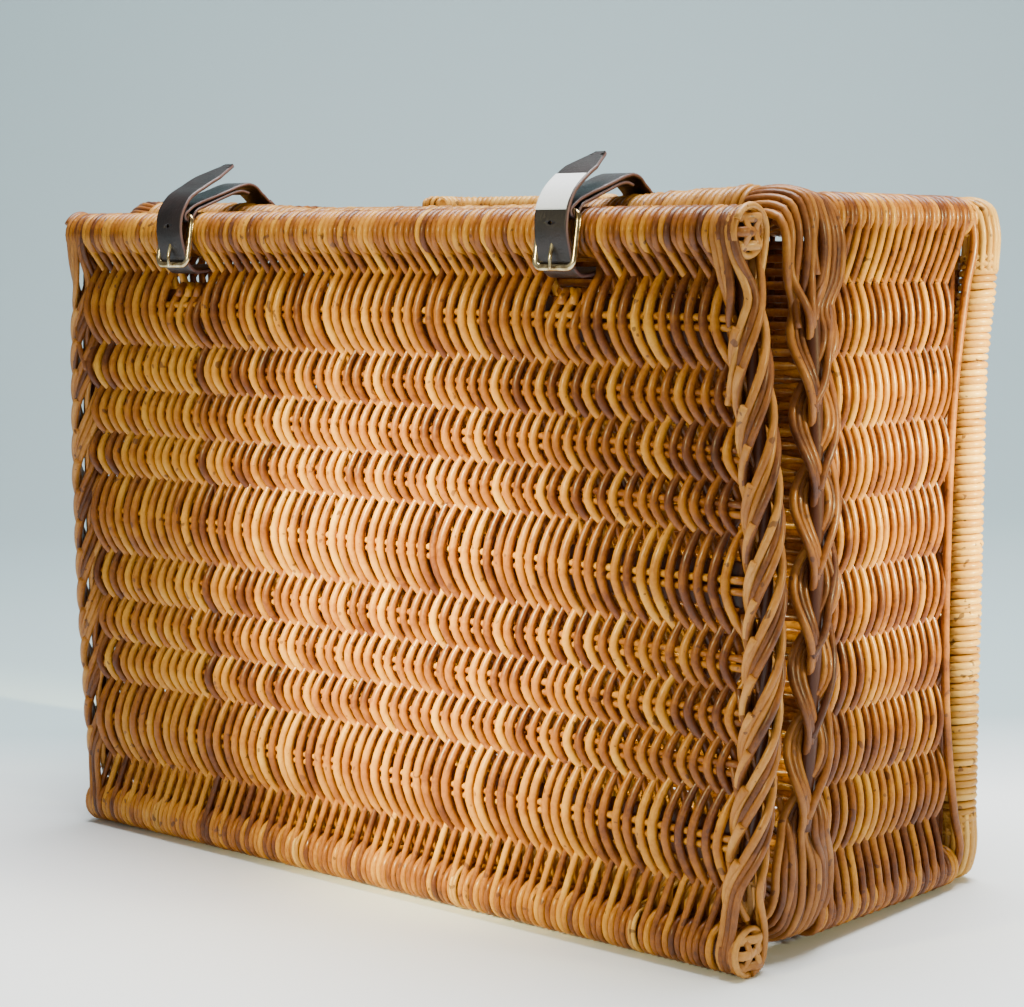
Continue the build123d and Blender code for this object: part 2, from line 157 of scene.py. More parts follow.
class Bundle:
    """Collects many canes into one mesh, each with its own tone and length along it."""

    def __init__(self):
        self.points = []
        self.faces = []
        self.smooth = []
        self.strand = []
        self.count = 0

    def add(self, path, radius, across=ALONG_X, sides=8, closed=False, flat=1.0, finish=None,
            caps=True):
        """Adds one cane. across is a direction never parallel to it, and flat its thickness."""
        path = np.asarray(path, float)
        rings = len(path)
        radius = np.broadcast_to(np.asarray(radius, float), (rings,))
        along = directions(path, closed)
        wide = np.asarray(across, float) - along * (along @ np.asarray(across, float))[:, None]
        wide /= np.linalg.norm(wide, axis=1)[:, None]
        thick = np.cross(along, wide)
        turn = full_turn(sides)
        ring = (np.cos(turn)[None, :, None] * wide[:, None, :]
                + flat * np.sin(turn)[None, :, None] * thick[:, None, :])
        points = path[:, None, :] + radius[:, None, None] * ring
        tone, shade, start = finish or fresh_finish()
        strand = np.empty((rings, sides, 3))
        strand[..., 0] = tone
        strand[..., 1] = shade
        strand[..., 2] = ((distances(path) + start) * MM)[:, None]
        quads = tube_faces(rings, sides, closed) + self.count
        self.faces += quads.tolist()
        self.smooth += [True] * len(quads)
        if caps and not closed:
            self.faces.append((np.arange(sides) + self.count).tolist())
            last = self.count + (rings - 1) * sides
            self.faces.append((np.arange(sides)[::-1] + last).tolist())
            self.smooth += [False, False]
        self.points.append(points.reshape(-1, 3))
        self.strand.append(strand.reshape(-1, 3))
        self.count += rings * sides

    def piece(self, name, body, material, place, replaces=(), slot="woven_cane"):
        """Makes the collected canes into an object that rides on a body."""
        points = np.concatenate(self.points) * MM
        if not np.isfinite(points).all():
            raise ValueError(name + " has a cane whose path repeats a point")
        mesh = bpy.data.meshes.new(name)
        mesh.from_pydata(points.tolist(), [], self.faces)
        mesh.polygons.foreach_set("use_smooth", self.smooth)
        layer = mesh.attributes.new("strand", "FLOAT_VECTOR", "POINT")
        layer.data.foreach_set("vector", np.concatenate(self.strand).astype(np.float32).ravel())
        mesh.transform(place)
        mesh.materials.append(material)
        return finish_piece(mesh, name, body, replaces)


def add_object(name, data):
    item = bpy.data.objects.new(name, data)
    bpy.context.scene.collection.objects.link(item)
    return item


def finish_piece(mesh, name, body, replaces):
    """Puts a mesh in the scene, on its body (or loose)."""
    piece = add_object(name, mesh)
    if body:
        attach(piece, body)
    if replaces:
        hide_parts(*replaces)
    return piece


# Materials

DRIFT = 0.40                  # how much a cane's colour changes over its surroundings
FLECK = 0.30                  # and how much from fleck to fleck


def new_material(name):
    """A material, its node tree, its shader's inputs and the place of a point on the object."""
    material = bpy.data.materials.new(name)
    material.use_nodes = True
    tree = material.node_tree
    place = tree.nodes.new("ShaderNodeTexCoord").outputs["Object"]
    return material, tree, tree.nodes["Principled BSDF"].inputs, place


def attribute_node(tree, name, output):
    attribute = tree.nodes.new("ShaderNodeAttribute")
    attribute.attribute_name = name
    return attribute.outputs[output]


def ramp_node(tree, value, stops):
    """The colour that a value has on a ramp."""
    ramp = tree.nodes.new("ShaderNodeValToRGB")
    elements = ramp.color_ramp.elements
    while len(elements) < len(stops):
        elements.new(0.5)
    for element, (place, colour) in zip(elements, stops):
        element.position = place
        element.color = (*colour, 1)
    tree.links.new(value, ramp.inputs["Fac"])
    return ramp.outputs["Color"]


def mix_node(tree, share, colour, plain):
    """A colour mixed with a plain one."""
    mix = tree.nodes.new("ShaderNodeMix")
    mix.data_type = "RGBA"
    mix.inputs["B"].default_value = (*plain, 1)
    tree.links.new(share, mix.inputs["Factor"])
    tree.links.new(colour, mix.inputs["A"])
    return mix.outputs["Result"]


def math_node(tree, operation, *values):
    node = tree.nodes.new("ShaderNodeMath")
    node.operation = operation
    for socket, value in zip(node.inputs, values):
        if isinstance(value, (int, float)):
            socket.default_value = value
        else:
            tree.links.new(value, socket)
    return node.outputs[0]


def noise_node(tree, vector, scale, detail, dimensions="3D"):
    noise = tree.nodes.new("ShaderNodeTexNoise")
    noise.noise_dimensions = dimensions
    noise.inputs["Scale"].default_value = scale
    noise.inputs["Detail"].default_value = detail
    tree.links.new(vector, noise.inputs["W" if dimensions == "1D" else "Vector"])
    return noise.outputs["Fac"]


def bump_normal(tree, height, strength, distance):
    bump = tree.nodes.new("ShaderNodeBump")
    bump.inputs["Strength"].default_value = strength
    bump.inputs["Distance"].default_value = distance
    tree.links.new(height, bump.inputs["Height"])
    return bump.outputs["Normal"]


def cane_material(name, stops, roughness=0.30, patchiness=0.50, spread=0.48):
    """Varnished cane: its tone from the strand, darker patches and joints along it, fine grain."""
    material, tree, shader, place = new_material(name)
    parts = tree.nodes.new("ShaderNodeSeparateXYZ")
    tree.links.new(attribute_node(tree, "strand", "Vector"), parts.inputs[0])

    patches = noise_node(tree, parts.outputs["Z"], 38, 4, "1D")
    fleck = noise_node(tree, place, 430, 4)
    drift = noise_node(tree, place, 8, 2)
    tone = math_node(tree, "MULTIPLY", parts.outputs["X"], spread)
    along = math_node(tree, "MULTIPLY", patches, patchiness)
    wide = math_node(tree, "MULTIPLY", drift, DRIFT)
    small = math_node(tree, "MULTIPLY", fleck, FLECK)
    total = math_node(tree, "ADD", math_node(tree, "ADD", tone, along),
                      math_node(tree, "ADD", wide, small))
    middle = (spread + patchiness + DRIFT + FLECK) / 2 - 0.5
    colour = ramp_node(tree, math_node(tree, "SUBTRACT", total, middle), stops)

    blemish = math_node(tree, "GREATER_THAN", noise_node(tree, place, 150, 1), 0.70)
    stained = mix_node(tree, math_node(tree, "MULTIPLY", blemish, 0.75), colour,
                       (0.075, 0.022, 0.008))
    tree.links.new(stained, shader["Base Color"])

    shader["Coat Weight"].default_value = 0.14
    shader["Specular IOR Level"].default_value = 0.3
    shader["Coat Roughness"].default_value = 0.16
    tree.links.new(math_node(tree, "MULTIPLY_ADD", fleck, 0.22, roughness), shader["Roughness"])
    grain = math_node(tree, "ADD", fleck, patches)
    tree.links.new(bump_normal(tree, grain, 0.35, 0.0004), shader["Normal"])
    return material


def leather_material():
    """Near-black brown leather, creased, with paler cut edges."""
    material, tree, shader, place = new_material("strap_leather")
    worn = noise_node(tree, place, 90, 5)
    creases = noise_node(tree, place, 700, 5)
    hide = ramp_node(tree, worn, ((0.3, (0.006, 0.0035, 0.0035)), (0.7, (0.016, 0.009, 0.0085))))
    colour = mix_node(tree, attribute_node(tree, "edge", "Fac"), hide, (0.16, 0.085, 0.075))
    tree.links.new(colour, shader["Base Color"])
    tree.links.new(math_node(tree, "MULTIPLY_ADD", creases, 0.25, 0.28), shader["Roughness"])
    height = math_node(tree, "ADD", creases, worn)
    tree.links.new(bump_normal(tree, height, 0.5, 0.0006), shader["Normal"])
    return material


def brass_material():
    """Polished pale brass, a little tarnished."""
    material, tree, shader, place = new_material("brass")
    tarnish = noise_node(tree, place, 160, 4)
    colour = ramp_node(tree, tarnish, ((0.35, (0.40, 0.28, 0.12)), (0.6, (0.82, 0.70, 0.43))))
    tree.links.new(colour, shader["Base Color"])
    tree.links.new(math_node(tree, "MULTIPLY_ADD", tarnish, 0.2, 0.10), shader["Roughness"])
    shader["Metallic"].default_value = 1.0
    return material


def paper_material():
    material, tree, shader, place = new_material("paper")
    fibre = noise_node(tree, place, 900, 4)
    colour = ramp_node(tree, fibre, ((0.3, (0.78, 0.81, 0.84)), (0.7, (0.86, 0.88, 0.90))))
    tree.links.new(colour, shader["Base Color"])
    shader["Roughness"].default_value = 0.55
    tree.links.new(bump_normal(tree, fibre, 0.2, 0.0002), shader["Normal"])
    return material


WOVEN = cane_material("woven_cane", (
    (0.0, (0.022, 0.006, 0.002)), (0.25, (0.110, 0.027, 0.002)), (0.48, (0.290, 0.092, 0.005)),
    (0.72, (0.500, 0.210, 0.012)), (1.0, (0.700, 0.380, 0.045))))
ROLLED = cane_material("rolled_cane", (
    (0.0, (0.080, 0.026, 0.003)), (0.25, (0.225, 0.084, 0.009)), (0.55, (0.410, 0.178, 0.022)),
    (1.0, (0.640, 0.330, 0.060))), spread=0.5)
PLAITED = cane_material("plaited_cane", (
    (0.0, (0.060, 0.014, 0.002)), (0.30, (0.210, 0.066, 0.007)), (0.60, (0.380, 0.150, 0.020)),
    (1.0, (0.600, 0.310, 0.075))), roughness=0.36, spread=0.6)
STRAW = cane_material("binding_cane", (
    (0.0, (0.220, 0.085, 0.010)), (0.25, (0.420, 0.190, 0.024)), (0.6, (0.600, 0.320, 0.055)),
    (1.0, (0.760, 0.500, 0.150))), roughness=0.34, patchiness=0.25, spread=0.5)
LEATHER = leather_material()
BRASS = brass_material()
PAPER = paper_material()


# Rows of weave, shared by every wall

LATE = 1.1                    # above 1, a weaver is furthest out past the middle of its row
BEND = 1.35                   # 1 for a weaver sharply bent at its row's stakes, 2 for an even bow

def weave_row(t, side, swing):
    """How far a weaver stands off the wall at a share t of one row: out and back."""
    return side * swing * np.sin(math.pi * t**LATE) ** 0.8


def slanted(t, side, slant, bow):
    """How far it lies sideways of its own line: a front weaver slants one way, a back one the other."""
    return side * (slant * (t - 0.5) - bow * (1 - np.abs(2 * t - 1) ** BEND))


ROW_STEPS = np.arange(7) / 7


# Lid

LID_ROLL = 16.0
LID_TOP = 428.0
LID_MIDDLE = -1.0             # the weave's middle plane
WRAP_RING = LID_ROLL - 2.75
LID_ROWS = (54, 33, 33, 31, 59, 34, 32, 31, 59)
TALL = 50                     # a row at least this high holds a slat
FIRST_CROSSING = 402.0
ROLL_LEAN = 0.05              # part of that shift which a weaver makes up for on the roll
HIGH_SHIFT = 5.6              # the wraps round the rolls lie this far left of their weavers
LOW_SHIFT = 5.5
CROSSINGS = [FIRST_CROSSING - sum(LID_ROWS[:row]) for row in range(len(LID_ROWS) + 1)]
LID_PAIRS = 62
LID_REACH = 301.0             # from the lid's middle to the end of a roll's core
LID_HALF_WEAVE = PITCH * (2 * LID_PAIRS - 1) / 2
SLAT_HALF_HEIGHT = 14.0
SLAT_HALF_THICKNESS = 1.5
TALL_FRONT_SWING = 8.4
TALL_BACK_SWING = 5.0
SHORT_SWING = 5.2
TALL_BOW = 6.5                # how far a weaver bows sideways in a tall row
SHORT_BOW = 4.6
SWING_EXTRA = 0.65            # a weaver is this much thicker where it passes over the stakes
LID_STAKE = 2.4
LID_STAKE_SPREAD = 3.0
STRAPS = {"left": -176.0, "right": 176.0}
RIGHT_BULGE = 11.0            # the lid's right border bulges this much more than its left one
SLOT_HALF_WIDTH = 17.0
SLOT_BOTTOM = 389.0
RING_PLACES = (-225.0, -75.0, 75.0, 225.0)


def row_swing(row, front):
    if LID_ROWS[row] < TALL:
        return SHORT_SWING
    return TALL_FRONT_SWING if front else TALL_BACK_SWING


def lid_bow(heights):
    """0 beside the rolls and 1 halfway up the lid, where its short sides bulge most."""
    return np.clip(np.sin(math.pi * (heights - 10) / 408), 0, 1)


def spread(xs, heights):
    """Moves the right part of the weave outward, after the right border's greater bulge."""
    return xs + RIGHT_BULGE * lid_bow(heights) * ease((xs - 170) / 125)


def in_slot(x):
    return any(abs(x - place) < SLOT_HALF_WIDTH for place in STRAPS.values())


LID_FINISHES = {(pair, first): fresh_finish() for pair in range(-1, LID_PAIRS + 1)
                for first in (True, False)}


def wrap_x(pair, shift):
    """Where the weavers of a pair pass round a roll."""
    return -LID_HALF_WEAVE + 2 * PITCH * pair - shift


def over_roll(turn, start_x, roll_x, share):
    """A weaver's points round a roll, which leave it sideways towards its own line."""
    return [roll_x + (start_x - roll_x) * ease(share) * ROLL_LEAN, turn[:, 0], turn[:, 1]]


def slot_end(home, side):
    """A weaver's points where it ends under a strap's slot."""
    return [np.full(3, home) - side * SLANT * np.array((0.2, 0.3, 0.4)),
            LID_MIDDLE + side * np.array((5.0, 4.0, 1.5)),
            SLOT_BOTTOM + np.array((-5.0, 0.0, 3.0))]


def lid_rows(crossings, home, side):
    """A weaver's points in and out of the rows, one list of x, y and height for each row."""
    wander = 0.5 * random.normal()
    row_side = -side
    rows = []
    for row, (high, low) in enumerate(zip(crossings, crossings[1:])):
        swing = row_swing(row, row_side > 0) * random.normal(1, 0.06)
        bow = TALL_BOW if LID_ROWS[row] > TALL else SHORT_BOW
        rows.append([home + wander + slanted(ROW_STEPS, row_side, SLANT, bow),
                     LID_MIDDLE - weave_row(ROW_STEPS, row_side, swing),
                     high + (low - high) * ROW_STEPS])
        row_side = -row_side
    return rows


def lid_weaver(pair, first):
    """One upright weaver: over the top roll, in and out of the rows and round the bottom roll."""
    side = 1 if first else -1                       # 1: at the front beside both rolls
    home = wrap_x(pair, 0) + (0 if first else PITCH)
    lean = side * SLANT / 2
    crossings = list(CROSSINGS)
    if in_slot(home):
        crossings[0] = SLOT_BOTTOM
        start = slot_end(home, side)
    else:
        turn = arc((0, LID_TOP), WRAP_RING, 90, 198 if first else -18, 10)
        start = over_roll(turn, home + lean, wrap_x(pair, HIGH_SHIFT), np.linspace(-0.4, 1, 10))
    meet, leave = (162, 270) if first else (18, -90)
    turn = arc((0, 0), WRAP_RING, meet, leave, 10)
    end = over_roll(turn, home - lean, wrap_x(pair, LOW_SHIFT), np.linspace(1, -0.4, 10))
    last = [[home - lean], [LID_MIDDLE], [crossings[-1]]]
    sections = [start, *lid_rows(crossings, home, side), last, end]
    path = np.stack([np.concatenate(part) for part in zip(*sections)], axis=-1)
    path[:, 0] = spread(path[:, 0], path[:, 2])
    return path


def lid_weave():
    """The lid's weavers, in two pieces so that neither mesh is too heavy."""
    halves = {"left": Bundle(), "right": Bundle()}
    for pair in range(LID_PAIRS):
        half = halves["left" if pair < LID_PAIRS / 2 else "right"]
        for first in (True, False):
            path = lid_weaver(pair, first)
            swing = np.clip(np.abs(path[:, 1] - LID_MIDDLE) / SHORT_SWING, 0, 1)
            swing *= np.abs(path[:, 2] - LID_TOP / 2) < LID_TOP / 2 - LID_ROLL
            thick = (CANE + SWING_EXTRA * swing) * random.normal(1, 0.03)
            half.add(path, thick, finish=LID_FINISHES[pair, first])
    for side, canes in halves.items():
        canes.piece("lid_weavers_" + side, "lid", WOVEN, lid_place, ["lid_panel"])


def lid_stakes():
    """Pairs of thin stakes along the middle of each row, in front of the slat in a tall one."""
    stakes = Bundle()
    reach = LID_HALF_WEAVE + 6
    for row, height in enumerate(LID_ROWS):
        middle = CROSSINGS[row] - height / 2
        y = LID_MIDDLE - (SLAT_HALF_THICKNESS + LID_STAKE + 1.0 if height > TALL else 1.8)
        for rise in (-LID_STAKE_SPREAD, LID_STAKE_SPREAD):
            xs = np.linspace(-reach, reach, 60)
            wave = 0.5 * np.sin(xs / 31 + random.random() * 6)
            path = np.stack((spread(xs, middle), np.full(60, y), middle + rise + wave), axis=-1)
            stakes.add(path, LID_STAKE, across=ALONG_Z, sides=7)
    stakes.piece("lid_stakes", "lid", WOVEN, lid_place)


def lid_slats():
    """Flat split-cane slats with softly rounded edges, inside the tall rows."""
    slats = Bundle()
    reach = LID_HALF_WEAVE + 2
    for row, height in enumerate(LID_ROWS):
        if height > TALL:
            middle = CROSSINGS[row] - height / 2
            path = [(float(spread(x, middle)), LID_MIDDLE, middle)
                    for x in np.linspace(-reach, reach, 30)]
            # painted shade: the slats get a dark tone for the shadow they lie in behind the weavers
            slats.add(path, SLAT_HALF_HEIGHT, across=ALONG_Z, sides=20,
                      flat=SLAT_HALF_THICKNESS / SLAT_HALF_HEIGHT, finish=(-0.2, 0.5, 0.0))
    slats.piece("lid_slats_split", "lid", WOVEN, lid_place, ["lid_slats"])


def ring(x, centre, radius, tilt=0.8, steps=22):
    """A closed ring round an axis along X, tilted a little like one turn of a binding."""
    points = arc(centre, radius, 0, 360, steps + 1)[:-1]
    turn = full_turn(steps) + random.normal(0, 0.3)
    return np.stack((x + tilt * np.sin(turn), points[:, 0], points[:, 1]), axis=-1)


def lid_roll(name, height, node):
    """A roll: a core bound by a ring of cane between each two weavers that pass round it."""
    canes = Bundle()
    core = [(x, 0, height) for x in np.linspace(-LID_REACH, LID_REACH, 20)]
    canes.add(core, WRAP_RING - 1.2, sides=16, across=ALONG_Z, finish=(-0.3, 0.0, 0.0))
    for pair in range(-1, LID_PAIRS + 1):
        x = wrap_x(pair, (HIGH_SHIFT if height else LOW_SHIFT) - PITCH)
        near_hinge = any(abs(x - place) < PITCH for place in RING_PLACES)
        if height or not near_hinge:
            canes.add(ring(x, (0, height), WRAP_RING + 0.1), 2.55 * random.normal(1, 0.03),
                      closed=True, finish=LID_FINISHES[pair, False])
    for x in (-LID_REACH, 4 - LID_REACH, LID_REACH):
        canes.add(ring(x, (0, height), WRAP_RING + 0.1), 2.6, closed=True)
    if height:
        for pair in range(LID_PAIRS):
            if in_slot(wrap_x(pair, 0)):
                canes.add(ring(wrap_x(pair, HIGH_SHIFT), (0, height), WRAP_RING), 2.5, closed=True)
    canes.piece(name, "lid", WOVEN, lid_place, [node])


KNOT_X = 305.0


def knot_canes(canes, centre_h, side):
    """Knot of flat canes, two upright and three across, that closes one end of a lid roll."""
    gap = 8.0
    for upright, offsets in ((True, (-4.7, 4.7)), (False, (-gap, 0.0, gap))):
        for lane, offset in enumerate(offsets):
            reach = math.sqrt(14.2**2 - offset**2)
            along = np.linspace(-reach, reach, 17)
            if upright:
                lift = np.cos(math.pi * (along / gap + lane))
            else:
                lift = np.sin(np.clip(along / 5.0, -1, 1) * math.pi / 2) * (-1) ** lane
            bulge = 2.0 * (1 - (along**2 + offset**2) / 200)
            tuck = -5.0 * ease((np.abs(along) - reach + 4.0) / 4.0)
            xs = side * (KNOT_X + bulge + 1.2 * lift + tuck)
            lanes_at = np.full(17, offset)
            ys, hs = (lanes_at, along) if upright else (along, lanes_at)
            path = np.stack((xs, ys, centre_h + hs), axis=-1)
            canes.add(path, 3.0, across=ALONG_Y if upright else ALONG_Z, flat=0.42)


def lid_knots():
    canes = Bundle()
    for side in (-1, 1):
        for height in (0, LID_TOP):
            back = [(side * x, 0, height) for x in (300, 303.2)]
            canes.add(back, 14.0, across=ALONG_Z, sides=20, finish=(-0.5, 0.0, 0.0))
            knot_canes(canes, height, side)
            rim = ring(side * 303.6, (0, height), 14.2, tilt=0.4)
            canes.add(rim, 2.1, closed=True)
        add_knot_binders(canes, side)
    canes.piece("lid_roll_knots_woven", "lid", PLAITED, lid_place, ["lid_roll_knots"])


# Borders of the lid's short sides, twisted like a rope of three strands

TWIST = 135.0                 # height in which a strand goes once round its border
TWIST_RADIUS = 8.8
BORDER_X = 297.0              # its middle beside the rolls
BORDER_BULGE = 8.0
WRAP_X = 295.5
WRAP_SPACING = 3.7
BORDER_CANES = [(strand, cane) for strand in range(3) for cane in (-0.85, 0.1, 1.05)]


def twisted(heights, strand, cane, lift=0.0):
    """Sideways and forward place of one cane, which lies beside the others of its strand."""
    turn = 2 * math.pi * (heights / TWIST + strand / 3)
    radius = TWIST_RADIUS + lift
    beside = 4.7 * cane
    return (radius * np.sin(turn) + beside * np.cos(turn),
            radius * np.cos(turn) - beside * np.sin(turn))


def border_x(heights, sign):
    """Middle line of a border, which bulges outward halfway up."""
    bulge = BORDER_BULGE + RIGHT_BULGE if sign > 0 else BORDER_BULGE
    return sign * (BORDER_X + bulge * lid_bow(heights))


def wrap_places(height, sign):
    """Where each border cane meets a roll: its place along the roll, and -1 for its front."""
    order = sorted(BORDER_CANES, key=lambda cane: float(twisted(height, *cane)[0]))
    places = {}
    for edge in (-1, 1):
        group = [cane for cane in order if (twisted(height, *cane)[1] > 0) == (edge < 0)]
        for index, cane in enumerate(group):
            places[cane] = (sign * WRAP_X + WRAP_SPACING * (index - (len(group) - 1) / 2), edge)
    return places


def lid_border(side):
    """Border of one short side of the lid, whose canes come off the rolls' last wraps."""
    canes = Bundle()
    sign = SIGNS[side]
    heights = np.arange(386.0, 41.0, -6.0)
    high_wraps = wrap_places(heights[0], sign)
    low_wraps = wrap_places(heights[-1], sign)
    for cane in BORDER_CANES:
        sideways, forward = twisted(heights, *cane)
        middle = np.stack((border_x(heights, sign) + sideways, -forward, heights), axis=-1)
        x, edge = high_wraps[cane]
        top = [(x, 0, LID_TOP + WRAP_RING), (x, edge * 9.6, LID_TOP + 9.6),
               (x, edge * WRAP_RING, LID_TOP), (x + sign, edge * 12.2, LID_TOP - 9)]
        x, edge = low_wraps[cane]
        bottom = [(x + sign, edge * 12.2, 9), (x, edge * WRAP_RING, 0),
                  (x, edge * 9.6, -9.6), (x, 0, -WRAP_RING)]
        path = curve_through(np.concatenate((top, middle, bottom)), 5.0)
        path[:, 0] += 0.4 * np.sin(path[:, 2] / 23 + random.random() * 6)
        tone, shade, start = fresh_finish()
        canes.add(path, CANE * random.normal(1.02, 0.06), finish=(tone - 0.15, shade, start))
    # the border's core has the painted-shadow finish, so it shows dark between the canes
    heights = np.linspace(LID_TOP - 12, 44, 60)
    middle = np.column_stack((border_x(heights, sign), np.zeros(len(heights)), heights))
    canes.add(middle, 4.5, sides=12, finish=PAINTED_SHADOW_CORE)
    border_tips(canes, sign)
    canes.piece("lid_plait_woven_" + side, "lid", PLAITED, lid_place, ["lid_plait_" + side])


def border_tips(canes, sign):
    """Stakes that come out of the weave, join a strand and end, cut short, on its front or back."""
    for number in range(2, 17):
        face = 1 if number % 2 == 0 else -1
        height = number * TWIST / 6
        heights = np.arange(height + 13.0, height - 56.0, -3.0)
        strand = (-number / 2) % 3
        end_lift = 0.8 * ease((heights - height) / 13)
        sideways, forward = twisted(heights, strand, -1.35, 0.5 + end_lift)
        path = np.stack((border_x(heights, sign) + sideways, -forward, heights), axis=-1)
        path = path[heights > 20]
        tone = 0.55 + 0.45 * random.random()
        canes.add(path, 2.6 * random.normal(1, 0.08), finish=(tone, 0.5, random.random() * 1000))
        inner = float(border_x(height, sign))
        stake = curve_through([(inner - sign * 15, -face * 2, height + 24),
                               (inner - sign * 7, -face * 6, height + 4),
                               (inner - sign * 3, -face * 4.5, height - 14),
                               (inner, 0, height - 26)], 4)
        canes.add(stake, 2.2)


def add_knot_binders(canes, sign):
    """Thin cane round the rim of the upper knot, which then runs down into the border."""
    turn = arc((0, LID_TOP), 15.2, 150, -12, 12)
    path = [(sign * 305.5, y, h) for y, h in turn]
    path += [(sign * 306, 10.5, LID_TOP - 20), (sign * 306.5, 3, LID_TOP - 38),
             (sign * 305, -6, LID_TOP - 58), (sign * 300, -10.5, LID_TOP - 80),
             (sign * 295, -8, LID_TOP - 100)]
    canes.add(curve_through(path, 3.0), 2.1)


# Body

BODY_STRANDS = 38
SIDE_STRANDS = range(2, 34)   # the others stay on the long walls
BODY_BULGE = 10.0
BODY_SLANT = 4.0              # the other way on the left half, so that both halves meet
LONG_BOW = 1.5                # how far a weaver bows sideways in a row of a long wall
SIDE_BOW = 0.9                # and in a row of a side wall
INNER_DEPTHS = (198.0, 202.6, 207.2, 211.8)   # uprights inside, between side wall and base
INNER_X = 291.0
INNER_EXTRA = 0.7             # a weaver is this much thicker where it lies inside its wall
POST_WRAPS = 37               # wraps round a corner, the last of them without a weaver
FIRST_DEPTH = 38.5
SIDE_MIDDLE = 298.0
TOP_MIDDLE = 444.0
BOTTOM_MIDDLE = 16.0
POST_X = 294.0
POST_RISE = 14.0
POST_RING = 11.8
ROW = 44.0
LONG_ROWS = 6                 # from the middle of a long wall to its end
LONG_REACH = LONG_ROWS * ROW
SIDE_TOP = 404.0
SIDE_ROWS = 8
SIDE_ROW = 44.1
SIDE_LOW = SIDE_TOP - SIDE_ROWS * SIDE_ROW
CORNER_SHIFT = {1: 8.0, -1: 2.0}      # towards the base, at the top and bottom corners
BOWED_CANE = ((276, 210, 447), (290, 212, 456), (301, 214, 452), (306, 214, 436), (306.5, 205, 400),
              (305.5, 197, 350), (304.5, 192, 240), (305, 196, 110), (306, 206, 50), (305, 215, 22),
              (298, 215, 8), (284, 213, 8))


BODY_FINISHES = [fresh_finish() for index in range(BODY_STRANDS)]


def bulged(path):
    """Moves the right wall's front part outward, most of all halfway up, and nothing else."""
    bow = np.clip(np.sin(math.pi * (path[:, 2] - 14) / (BODY_HEIGHT - 28)), 0, 1)
    part = ease((210 - path[:, 1]) / 170) * ease((path[:, 0] - 255) / 35)
    return path + (BODY_BULGE * bow * part)[:, None] * np.array(ALONG_X)


def wall_section(place_of, rows, home, row_side, slant, bow):
    """A weaver's points along one wall, where place_of turns share, out and depth into points."""
    points = []
    for row in range(rows):
        swing = WALL_SWING * random.normal(1, 0.05)
        depth = home + slanted(ROW_STEPS, -row_side, slant, bow)
        out = weave_row(ROW_STEPS, row_side, swing)
        points.append(place_of(row + ROW_STEPS, out, depth))
        row_side = -row_side
    return np.concatenate(points)


def corner_section(line, home, row_side, slant, shift):
    """A weaver's points round a corner post, without the last one."""
    path = curve_through(line, 4.0)
    share = np.linspace(0, 1, len(path))
    depth = home - row_side * slant * (share - 0.5) + shift * np.sin(math.pi * share)
    return np.stack((path[:, 0], depth, path[:, 1]), axis=-1)[:-1]


def along_top(t, out, depth):
    return np.stack((t * ROW, depth, TOP_MIDDLE + out), axis=-1)


def along_side(t, out, depth):
    return np.stack((SIDE_MIDDLE + out, depth, SIDE_TOP - t * SIDE_ROW), axis=-1)


def along_bottom(t, out, depth):
    return np.stack((LONG_REACH - t * ROW, depth, BOTTOM_MIDDLE - out), axis=-1)


def body_weaver(index, parity, slant):
    """Right half of one weaver's loop, in named sections. Each ends where the next one starts."""
    home = FIRST_DEPTH + PITCH * index
    side = parity * (-1) ** LONG_ROWS
    top_line = corner_line(side, 1, SIDE_TOP)
    after = -side * (-1) ** SIDE_ROWS
    low_line = corner_line(after, -1, SIDE_LOW)[::-1]
    sections = {
        "top_wall": wall_section(along_top, LONG_ROWS, home, parity, slant, LONG_BOW),
        "corner_post_top": corner_section(top_line, home, side, slant, CORNER_SHIFT[1]),
        "side_wall": wall_section(along_side, SIDE_ROWS, home, -side, slant, SIDE_BOW),
        "corner_post_bottom": corner_section(low_line, home, after, slant, CORNER_SHIFT[-1]),
        "bottom_wall": wall_section(along_bottom, LONG_ROWS, home, -after, slant, LONG_BOW)}
    starts = [path[:1] for path in sections.values()][1:] + [[[0, home, BOTTOM_MIDDLE]]]
    return {name: np.concatenate((path, start))
            for (name, path), start in zip(sections.items(), starts)}


def corner_line(row_side, end, side_end):
    """Line from a long wall round a corner post to the side wall, outside or inside the post."""
    rise = TOP_MIDDLE if end > 0 else BOTTOM_MIDDLE
    post = (POST_X, BODY_HEIGHT - POST_RISE if end > 0 else POST_RISE)
    if row_side > 0:
        turn = arc(post, POST_RING, 90 * end, 0, 6)
        return [(LONG_REACH, rise), (LONG_REACH + 14, rise + end * 9.5), *turn.tolist(),
                (POST_X + 10.2, post[1] - end * 14), (SIDE_MIDDLE, side_end)]
    return [(LONG_REACH, rise), (LONG_REACH + 10, rise - end * 6),
            (POST_X - 10, post[1] - end * 11), (POST_X - 2, post[1] - end * 24),
            (SIDE_MIDDLE, side_end)]


def inward(name, path):
    """How far the points of a weaver lie inside the middle of their wall."""
    if name == "side_wall":
        return SIDE_MIDDLE - path[:, 0]
    if name == "top_wall":
        return TOP_MIDDLE - path[:, 2]
    if name == "bottom_wall":
        return path[:, 2] - BOTTOM_MIDDLE
    return np.zeros(len(path))


